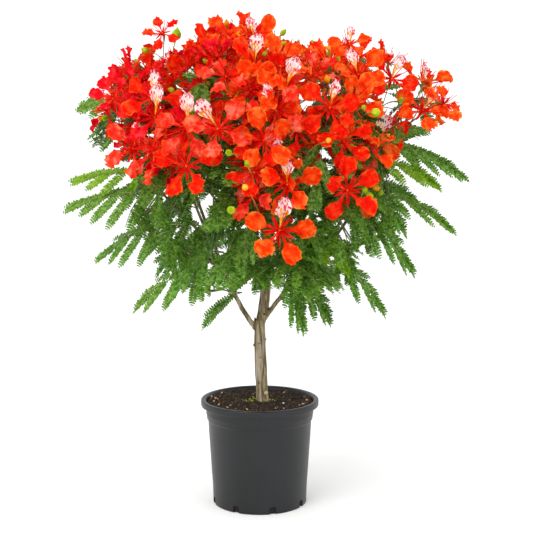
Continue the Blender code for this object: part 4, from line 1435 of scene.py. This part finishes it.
def bark_limb(name):
    """A limb as its bark follows it."""
    limb = LIMBS[name]
    points, radii = [], []
    last = len(limb.points) - 1
    for i, (point, radius) in enumerate(zip(limb.points, limb.radii)):
        t = i / last
        swell = math.sin(math.pi * t) if name == "bough_centre" else 0.0
        lean = Vector((LEADER_LEAN * max(swell, 0.0) ** 0.7, 0.0, 0.0))
        points.append(point + lean + LOW_STARTS.get(name, Vector()) * (1 - t) ** 2)
        radii.append(radius + LEADER_SWELL * swell)
    return Limb(points, radii)


def build_scars():
    """Leaf scars, the pale cut of a lost shoot, and dark knots, low on the bark."""
    for tint, marks, shades in SCARS:
        finish = soil_finish(f"scar_{tint}", (0.35, 0.65), shades)
        name = f"bark_scars_{tint}"
        made = hold(name, mesh_from(name, [ball(*mark) for mark in marks]), finish)
        made.data.shade_smooth()
        rides(made, "bark")


def bark_relief(x, y, z):
    """How far the bark stands out from its smooth skin."""
    x_run = x + 0.004 * math.sin(z * 55.0 + x * 90.0)
    streak = noise.noise(Vector((x_run * 210, y * 210, z * 26)))
    fine = noise.noise(Vector((x * 520, y * 520, z * 110)))
    lump = noise.noise(Vector((x * 60, y * 60, z * 32)))
    flute = noise.noise(Vector((x * 120, y * 120, z * 7)))
    thick = 1.0 if z < 0.45 else 0.6
    ridges = STREAK_RELIEF * streak + FINE_RELIEF * fine + FLUTE_RELIEF * flute
    return ridges * thick + LUMP_RELIEF * lump


def build_bark(finish):
    """Trunk and boughs in one skin: fused at the forks, with the streaks of the bark raised."""
    skins = {name: bark_limb(name) for name in ("trunk", *BOUGHS)}
    parts = [limb_tube(skin, 20) for skin in skins.values()]
    parts += [ball(*swelling) for swelling in SWELLINGS]
    for name, (parent, share, _, _, root_radius, _) in BOUGHS.items():
        if name != "bough_centre":
            start = skins[parent].at(share)
            parts.append(ball(skins[name].at(0.04).lerp(start, 0.5), root_radius * 1.25))
    made = hold("trunk_and_boughs", mesh_from("trunk_and_boughs", parts))
    fuse = made.modifiers.new("fuse", "REMESH")
    fuse.mode = "VOXEL"
    fuse.voxel_size = SKIN_GRAIN
    ease = made.modifiers.new("ease", "SMOOTH")
    ease.factor = 0.5
    ease.iterations = 5
    made = plain_mesh(made, finish)
    mesh = made.data
    places, normals = (np.empty(len(mesh.vertices) * 3) for _ in range(2))
    mesh.vertices.foreach_get("co", places)
    mesh.vertices.foreach_get("normal", normals)
    for place, normal in zip(places.reshape(-1, 3), normals.reshape(-1, 3)):
        place += normal * bark_relief(*place)
    places[2::3] = np.maximum(places[2::3], SOIL_LEVEL + GAP / 2)
    mesh.vertices.foreach_set("co", places)
    mesh.shade_smooth()
    rides(made, "bark", "trunk", *BOUGHS)


# Pot and soil


def pot_profile():
    """From the middle of the floor up the inside, over the rolled rim and down the outside."""
    inner, step = COLLAR_RADIUS - POT_WALL, COLLAR_RADIUS - COLLAR_STEP
    lip, foot = POT_HEIGHT - LIP_DEPTH, COLLAR_BOTTOM - COLLAR_STEP
    profile = [
        (0.0, POT_FLOOR),
        (BASE_RADIUS - POT_WALL - 0.001, POT_FLOOR),
        (BASE_RADIUS - POT_WALL, POT_FLOOR + 0.001),
        (inner - COLLAR_STEP, foot),
        (inner, COLLAR_BOTTOM),
        (COLLAR_TOP_RADIUS - POT_WALL, POT_HEIGHT - 0.0042),
        (COLLAR_TOP_RADIUS - 0.0010, POT_HEIGHT - 0.0020),
        (COLLAR_TOP_RADIUS + 0.0012, POT_HEIGHT - 0.0006),
        (RIM_RADIUS - 0.0062, POT_HEIGHT - 0.0002),
        (RIM_RADIUS - 0.0030, POT_HEIGHT),
        (RIM_RADIUS - 0.0014, POT_HEIGHT - 0.0006),
        (RIM_RADIUS - 0.0004, POT_HEIGHT - 0.0018),
        (RIM_RADIUS, POT_HEIGHT - 0.0036),
        (RIM_RADIUS - 0.0002, lip + 0.0022),
        (RIM_RADIUS - 0.0007, lip + 0.0006),
        (RIM_RADIUS - 0.0015, lip),
        (RIM_RADIUS - 0.0026, lip + 0.0005),
        (RIM_RADIUS - 0.0030, lip + 0.0030),
        (RIM_RADIUS - 0.0034, POT_HEIGHT - 0.0048),
        (COLLAR_TOP_RADIUS + 0.0016, POT_HEIGHT - 0.0048),
        (COLLAR_TOP_RADIUS, POT_HEIGHT - 0.0070),
    ]
    for z, proud in ((0.2195, 0.0), (0.2180, 0.0007), (0.2165, 0.0007), (0.2150, 0.0)):
        share = (z - COLLAR_BOTTOM) / (POT_HEIGHT - COLLAR_BOTTOM)
        profile.append((mix(COLLAR_RADIUS, COLLAR_TOP_RADIUS, share) + proud, z))
    return profile + [
        (COLLAR_RADIUS, COLLAR_BOTTOM + 0.0008),
        (COLLAR_RADIUS - 0.0006, COLLAR_BOTTOM - 0.0004),
        (step + 0.0005, foot + 0.0006),
        (step, foot - 0.0008),
        *WALL_PROFILE,
        (BASE_RADIUS + 0.0002, 0.0022),
        (BASE_RADIUS - 0.0004, 0.0008),
        (BASE_RADIUS - 0.0020, 0.0),
        (0.0, 0.0),
    ]


def slot_cutter(angle):
    """A block with a rounded top, turned to its place at the foot of the wall."""
    mesh = bpy.data.meshes.new("slot")
    with shaping(mesh) as bm:
        bmesh.ops.create_cube(bm, size=1.0)
        bmesh.ops.scale(bm, vec=(SLOT_WIDTH, 0.012, 2 * SLOT_HEIGHT), verts=bm.verts[:])
        edges = [e for e in bm.edges if abs(e.verts[0].co.y - e.verts[1].co.y) > 0.005]
        top = [e for e in edges if e.verts[0].co.z > 0]
        bmesh.ops.bevel(bm, geom=top, offset=0.0045, segments=5, affect="EDGES", profile=0.5)
        place = Matrix.Translation(Vector((math.sin(angle), -math.cos(angle), 0.0)) * BASE_RADIUS)
        bmesh.ops.transform(bm, matrix=place @ Matrix.Rotation(angle, 4, "Z"), verts=bm.verts[:])
    return mesh


def build_pot(finish):
    """The turned pot with its drain slots cut through the foot of the wall."""
    points = [(radius, 0.0, height) for radius, height in pot_profile()]
    pot = hold("nursery_pot", line_mesh("pot", [points]))
    spin = pot.modifiers.new("turn", "SCREW")
    spin.steps = spin.render_steps = POT_SIDES
    spin.use_merge_vertices = True
    spin.merge_threshold = 0.0001
    pot = plain_mesh(pot)
    with shaping(pot.data) as bm:
        bmesh.ops.remove_doubles(bm, verts=bm.verts[:], dist=0.00001)
        bmesh.ops.recalc_face_normals(bm, faces=bm.faces[:])
    cutters = shape_set("slots", [slot_cutter(SLOT_TURN + turn) for turn in turns(SLOT_COUNT)])
    bpy.context.scene.collection.children.link(cutters)
    cut = pot.modifiers.new("slots", "BOOLEAN")
    cut.operation = "DIFFERENCE"
    cut.operand_type = "COLLECTION"
    cut.collection = cutters
    pot = plain_mesh(pot, finish)
    for helper in list(cutters.objects):
        bpy.data.objects.remove(helper)
    bpy.data.collections.remove(cutters)
    pot.data.shade_smooth()
    pot.data.set_sharp_from_angle(angle=math.radians(40))
    rides(pot, "pot_plastic", "pot")


def soil_height(x, y):
    """How high the crumbled surface lies over the level of the mix."""
    rough = noise.noise(Vector((x * 95, y * 95, 0.3))) * 0.0016
    rough += noise.noise(Vector((x * 330, y * 330, 4.1))) * 0.0011
    broad = noise.noise(Vector((x * 22, y * 22, 7.7))) * 0.0022
    mound = 0.003 * math.exp(-((math.hypot(x - TRUNK_FOOT_X, y) / 0.035) ** 2))
    edge = clamp((SOIL_RADIUS - math.hypot(x, y)) / 0.006)
    return (0.0032 + rough + broad + mound) * edge + 0.0001


def build_soil_top(finish):
    rings, sides = 64, 200
    places = [(0.0, 0.0)]
    for radius in (SOIL_RADIUS * j / rings for j in range(1, rings + 1)):
        places += [(radius * math.cos(turn), radius * math.sin(turn)) for turn in turns(sides)]
    points = [(x, y, SOIL_LEVEL + soil_height(x, y)) for x, y in places]
    faces = [(0, 1 + i, 1 + (i + 1) % sides) for i in range(sides)]
    faces += [(a, d, c, b) for a, b, c, d in faces_between(rings, sides, start=1)]
    made = hold("soil_top", mesh_from("soil_top", [(points, faces)]), finish)
    made.data.shade_smooth()
    rides(made, "potting_mix")


def chip_meshes(rng):
    """Broken chips of bark, each a few faces."""
    made = [bpy.data.meshes.new(f"chip_{k}") for k in range(CHIP_KINDS)]
    for mesh in made:
        with shaping(mesh) as bm:
            bmesh.ops.create_icosphere(bm, subdivisions=1, radius=0.5)
            for v in bm.verts:
                v.co *= rng.uniform(0.72, 1.12)
                v.co.y *= 0.62
                v.co.z *= CHIP_THICKNESS
    return made


def chip_rows(rng, count, sizes):
    """Chips strewn over the mix, clear of its edge and of the trunk."""
    rows = []
    reach = SOIL_RADIUS - RIM_CLEARANCE
    while len(rows) < count:
        x = rng.uniform(-reach, reach)
        y = rng.uniform(-reach, reach)
        if math.hypot(x, y) > reach or math.hypot(x - TRUNK_FOOT_X, y) < FLARE_RADIUS + 0.001:
            continue
        size = mix(*sizes, rng.random() ** 2.2)
        facing = Vector((rng.uniform(-0.5, 0.5), rng.uniform(-0.5, 0.5), 1.0))
        heading = rng.uniform(0, 2 * math.pi)
        upward = Vector((math.cos(heading), math.sin(heading), 0.0))
        z = SOIL_LEVEL + soil_height(x, y) + CHIP_LIFT * size
        rows.append(((x, y, z), facing, upward, size, rng.randrange(CHIP_KINDS)))
    return rows


def crumb_rows(rng, places, size, spread):
    """Chips or tufts of moss set at their places."""
    rows = []
    for x, y, *raised in places:
        x, y = x + rng.uniform(-spread, spread), y + rng.uniform(-spread, spread)
        facing = Vector((rng.uniform(-0.8, 0.8), rng.uniform(-1.0, 0.2), 1.0))
        upward = Vector((rng.uniform(-1, 1), rng.uniform(-1, 1), 0.1))
        z = SOIL_LEVEL + soil_height(x, y) + CRUMB_RISE + sum(raised)
        own = size * rng.uniform(0.7, 1.15)
        rows.append(((x, y, z), facing, upward, own, rng.randrange(CHIP_KINDS)))
    return rows


def build_ground():
    """The potting mix, with its chips of bark, its moss and one white bead of grit."""
    soil = frame["nodes"]["soil"].data.materials
    soil.clear()
    shades = ((10, 7, 5), (30, 20, 14), (58, 40, 26))
    soil.append(soil_finish("potting_mix_packed", (0.3, 0.6, 0.8), shades))
    shades = ((18, 12, 9), (46, 32, 22), (84, 62, 42))
    build_soil_top(soil_finish("potting_mix_crumbs", (0.30, 0.52, 0.72), shades))
    rng = random.Random(f"{SEED} chips")
    chips = shape_set("chips", chip_meshes(rng))
    strewn = [(name, chip_rows(rng, *how), shades) for name, how, shades in STREWN_CHIPS]
    rng = random.Random(f"{SEED} crumbs")
    strewn += [(name, crumb_rows(rng, *how), shades) for name, how, shades in SET_CRUMBS]
    for name, rows, shades in strewn:
        finish = soil_finish(name, (0.35, 0.65), shades, 320.0)
        build_shapes(name, rows, chips, finish, "potting_mix").data.shade_flat()
    pearl = soil_finish("grit_white", (0.35, 0.65), ((226, 224, 218), (250, 250, 246)))
    form = ball((0.0558, -0.0420, 0.2475), 0.0024, (1, 0.9, 0.85))
    bead = hold("grit_bead", mesh_from("grit_bead", [form]), pearl)
    bead.data.shade_smooth()
    rides(bead, "potting_mix")


# Camera, floor and light


def build_stage():
    scene = bpy.context.scene
    camera = bpy.data.cameras.new("camera")
    camera.lens = CAMERA_LENS
    camera.sensor_width = 36.0
    scene.camera = hold("camera", camera)
    scene.camera.location = CAMERA_PLACE
    scene.camera.rotation_euler = (math.pi / 2 - CAMERA_PITCH, 0.0, 0.0)
    scene.view_settings.view_transform = "Standard"
    scene.world = bpy.data.worlds.new("studio")
    scene.world.use_nodes = True
    sky = scene.world.node_tree.nodes["Background"].inputs
    sky["Color"].default_value = (1.0, 1.0, 1.0, 1.0)
    sky["Strength"].default_value = 1.20
    corners = [(-30, -30, 0), (30, -30, 0), (30, 30, 0), (-30, 30, 0)]
    paper = Finish("floor_paper")
    pale = paper.ramp(paper.noise(3.0), (0.3, 0.7), FLOOR_TONES)
    sheet = mesh_from("floor", [(corners, [(0, 1, 2, 3)])])
    floor = hold("floor", sheet, paper.paint(pale, 0.9))
    for name, place, power in LAMPS:
        lamp = bpy.data.lights.new(name, "AREA")
        lamp.size = 2.4
        lamp.energy = power
        light = hold(name, lamp)
        light.location = place
        aim = Vector((0.0, 0.0, 0.65)) - light.location
        light.rotation_euler = aim.to_track_quat("-Z", "Y").to_euler()


def build_blossoms(blossoms, rng):
    """The petals, sepals, stamens and cups of all blossoms, each kind as one piece."""
    finish = {name: petal_finish(name, *shades) for name, shades in PETAL_TONES.items()}
    kinds = random.Random(f"{SEED} kinds")
    four, five = petal_meshes(kinds, 1), petal_meshes(kinds, 0)
    petals = {zone: shape_set(zone, four[zone] + five[zone]) for zone in four}
    banners = banner_meshes(kinds).items()
    banners = {kind: shape_set(f"banner_{kind}", found) for kind, found in banners}
    filaments, anthers = stamen_meshes(kinds, finish["filament_red"])
    points, faces = egg(*CUP, 4, 8)
    dome = [(points - (0, 0, CUP_DROP), faces)]
    domes = [mesh_from(f"dome_{k}", dome) for k in range(BLOSSOM_KINDS)]

    rows, banner_rows, petal_rows = [], [], []
    colours = {"scarlet": [], "orange": [], "crimson": [], "coral": []}
    for number, blossom in enumerate(blossoms):
        kind = number % BLOSSOM_KINDS
        row = (blossom.middle, blossom.facing, blossom.up, blossom.size, kind)
        rows.append(row)
        if blossom.banner:
            banner_rows.append(row)
        else:
            row = (*row[:4], kind + BLOSSOM_KINDS)
        petal_rows.append(row)
        side = blossom.middle.x / CROWN_HALF_WIDTH + rng.uniform(-0.9, 0.9)
        colours[next(name for name, limit in PETAL_SIDES if side < limit)].append(row)
    for name, chosen in colours.items():
        nodes = masses_of("blossom") if name == "scarlet" else ()
        tint = finish[f"petal_{name}"]
        build_shapes(f"petals_{name}", chosen, petals["blade"], tint, "blossom", *nodes)
    warm = colours["scarlet"] + colours["coral"]
    for name, shapes, tint, places in (
        ("petal_claws", petals["claw"], "claw_red", petal_rows),
        # The rims take a lighter tone than their blades, as painted light on the thin edges
        ("petal_rims_scarlet", petals["rim"], "petal_scarlet", colours["crimson"]),
        ("petal_rims_orange", petals["rim"], "rim_orange", warm),
        ("petal_rims_amber", petals["rim"], "rim_amber", colours["orange"]),
        ("banners_white", banners["white"], "banner_white", banner_rows),
        ("banners_crimson", banners["crimson"], "banner_crimson", banner_rows),
        ("banners_yellow", banners["yellow"], "banner_yellow", banner_rows),
        ("sepals", shape_set("sepals", sepal_meshes(0.0)), "sepal_crimson", rows),
        ("sepal_backs", shape_set("backs", sepal_meshes(-0.0007)), "sepal_green", rows),
        ("filaments", shape_set("filaments", filaments), "filament_red", rows),
        ("anthers", shape_set("anthers", anthers), "anther_maroon", rows),
        ("receptacles", shape_set("domes", domes), "receptacle_gold", rows),
    ):
        build_shapes(name, places, shapes, finish[tint], "blossom")


def build_racemes(blossoms, rng, young):
    """Twigs from the hub of a mass to its blossoms and buds, which hang on long stalks."""
    twigs, twig_radii, stalks, stalk_radii, buds = [], [], [], [], []
    front_buds = {False: [], True: []}
    for name in masses_of("blossom"):
        hub = HUBS[name]
        heads = []
        for blossom in (b for b in blossoms if b.mass == name):
            seat, cup = (blossom.middle - blossom.facing * depth for depth in CUP_DEPTHS)
            wanted = hub + (seat - hub) * HEAD_SHARE
            near = [head for head in heads if (head - wanted).length < HEAD_SPACING]
            head = near[0] if near else wanted
            if not near:
                heads.append(head)
                stem = LIMBS[name].at(HEAD_STEM)
                twigs.append(arc(stem, head, rng.uniform(-0.01, 0.006), TWIG_TAPER[-1]))
                twig_radii.append(taper(*TWIG_TAPER))
            line = arc(head, seat, rng.uniform(-0.008, 0.004), 4)
            stalks.append([*line, cup])
            stalk_radii.append(STALK_RADII)
        for head in heads:
            out = (head - hub).normalized() + (head - CROWN_MIDDLE).normalized() * 0.6
            for _ in range(rng.randrange(*BUDS_PER_HEAD)):
                way = (out + stray(rng, 0.7)).normalized()
                tip = head + way * rng.uniform(*BUD_STALK)
                if not in_crown(tip, -BUD_INSET) or hides_front(tip):
                    continue
                stalks.append(arc(head, tip, 0.004, 4))
                stalk_radii.append(BUD_STALK_RADII)
                size = rng.uniform(*BUD_SIZES)
                buds.append((tip, way, UP.cross(way), size, rng.randrange(3)))
    for across, up, forward, size, gold in FRONT_BUDS:
        way = sight(across, up)
        point = CAMERA_PLACE + way * ((-forward - CAMERA_PLACE.y) / way.y)
        hub = HUBS[nearest_hub(point, "blossom")]
        head = point.lerp(hub, 0.45) - UP * 0.03
        rise = (point - head).normalized()
        place = point - rise * 0.010 * size
        stalks += [arc(hub, head, 0.0, 4), arc(head, place, 0.006, 4)]
        stalk_radii += [FRONT_TWIG_RADII, FRONT_STALK_RADII]
        front_buds[gold].append((place, rise, UP.cross(rise), size, 0))
    build_tubes("racemes", twigs, twig_radii, 6, young, "young_bark")
    green = green_stalk_finish("stalk_green", (94, 104, 30), (146, 160, 62))
    build_tubes("blossom_stalks", stalks, stalk_radii, 5, green, "young_bark")
    forms = [egg(BUD[0], BUD[1] - 0.001 * k, 8, 15, BUD_RIDGE) for k in range(3)]
    shapes = shape_set("buds", [mesh_from(f"bud_{k}", [form]) for k, form in enumerate(forms)])
    for name, rows, shades in (
        ("green", buds[::3] + buds[1::3] + front_buds[False], BUD_GREENS),
        ("gold", buds[2::3] + front_buds[True], BUD_GOLDS),
    ):
        build_shapes(f"buds_{name}", rows, shapes, petal_finish(f"bud_{name}", *shades), "blossom")


def build_leaves():
    """Leaflets in five greens dealt out by leaf, with their ribs and stalks; the lightest green is
    painted light on lit leaves at the edge, the darkest painted shade inside the crown.
    """
    rng = random.Random(f"{SEED} leaves")
    leaves = edge_leaves(rng) + rule_leaves(rng) + side_leaves(rng)
    leaflet = leaflet_shape()
    for shade, (name, shades) in enumerate(LEAF_TONES.items()):
        finish = leaf_finish(name, *shades)
        ribs, broads, fullness = [], [], []
        for leaf in (leaf for leaf, _ in leaves if leaf.shade == shade):
            ribs += leaf.ribs
            broads += [[broad] * len(PINNA_SHARES) for broad in leaf.broads]
            fullness += [[leaf.fullness] * len(PINNA_SHARES)] * len(leaf.ribs)
        source = line_mesh(
            "ribs",
            ribs,
            broad=("FLOAT_VECTOR", broads),
            along=("FLOAT", [PINNA_SHARES] * len(ribs)),
            fullness=("FLOAT", fullness),
        )
        sizes = {"Spacing": LEAFLET_SPACING, "Length": LEAFLET_LENGTH}
        made = grown(
            f"leaflets_{shade}", LEAFLETS, source, Leaflet=leaflet, Finish=finish, **sizes
        )
        rides(made, "foliage", *(masses_of("foliage") if shade == 2 else ()))
    bpy.data.objects.remove(leaflet)
    ribs, rachises, rachis_radii = [], [], []
    for leaf, name in leaves:
        ribs += leaf.ribs
        near = [LIMBS[other].nearest(leaf.line[0]) for other in (name, *BOUGHS)]
        foot, apart = min(near, key=lambda found: found[1])
        # A leaf that stands off the limbs gets a stalk from the nearest one
        if apart > 0.004:
            lift = rng.uniform(-0.012, 0.0)
            rachises.append(arc(foot, leaf.line[0], lift, LEAD_TAPER[-1]))
            rachis_radii.append(taper(*LEAD_TAPER))
        rachises.append(leaf.line)
        rachis_radii.append(taper(*RACHIS_TAPER))
    radii = [taper(*RIB_TAPER)] * len(ribs)
    green = green_stalk_finish("rib_green", (112, 132, 58), (164, 180, 112))
    build_tubes("leaf_ribs", ribs, radii, 3, green, "foliage")
    green = green_stalk_finish("rachis_green", (84, 92, 34), (124, 130, 62))
    build_tubes("leaf_stalks", rachises, rachis_radii, 5, green, "foliage")


def main():
    build_stage()
    build_bark(bark_finish("poinciana_bark", *BARK_TONES))
    build_scars()
    young = bark_finish("young_twig_bark", *YOUNG_TONES)
    limbs = [LIMBS[name] for name in MASSES]
    lines, radii = [limb.points for limb in limbs], [limb.radii for limb in limbs]
    nodes = [f"branch_to_{name}" for name in MASSES]
    build_tubes("branches", lines, radii, 8, young, "young_bark", *nodes)
    build_pot(plastic_finish())
    build_ground()
    rng = random.Random(f"{SEED} blossoms")
    blossoms = rule_blossoms(rng, front_blossoms(rng))
    build_blossoms(blossoms, rng)
    build_racemes(blossoms, rng, young)
    build_leaves()


main()
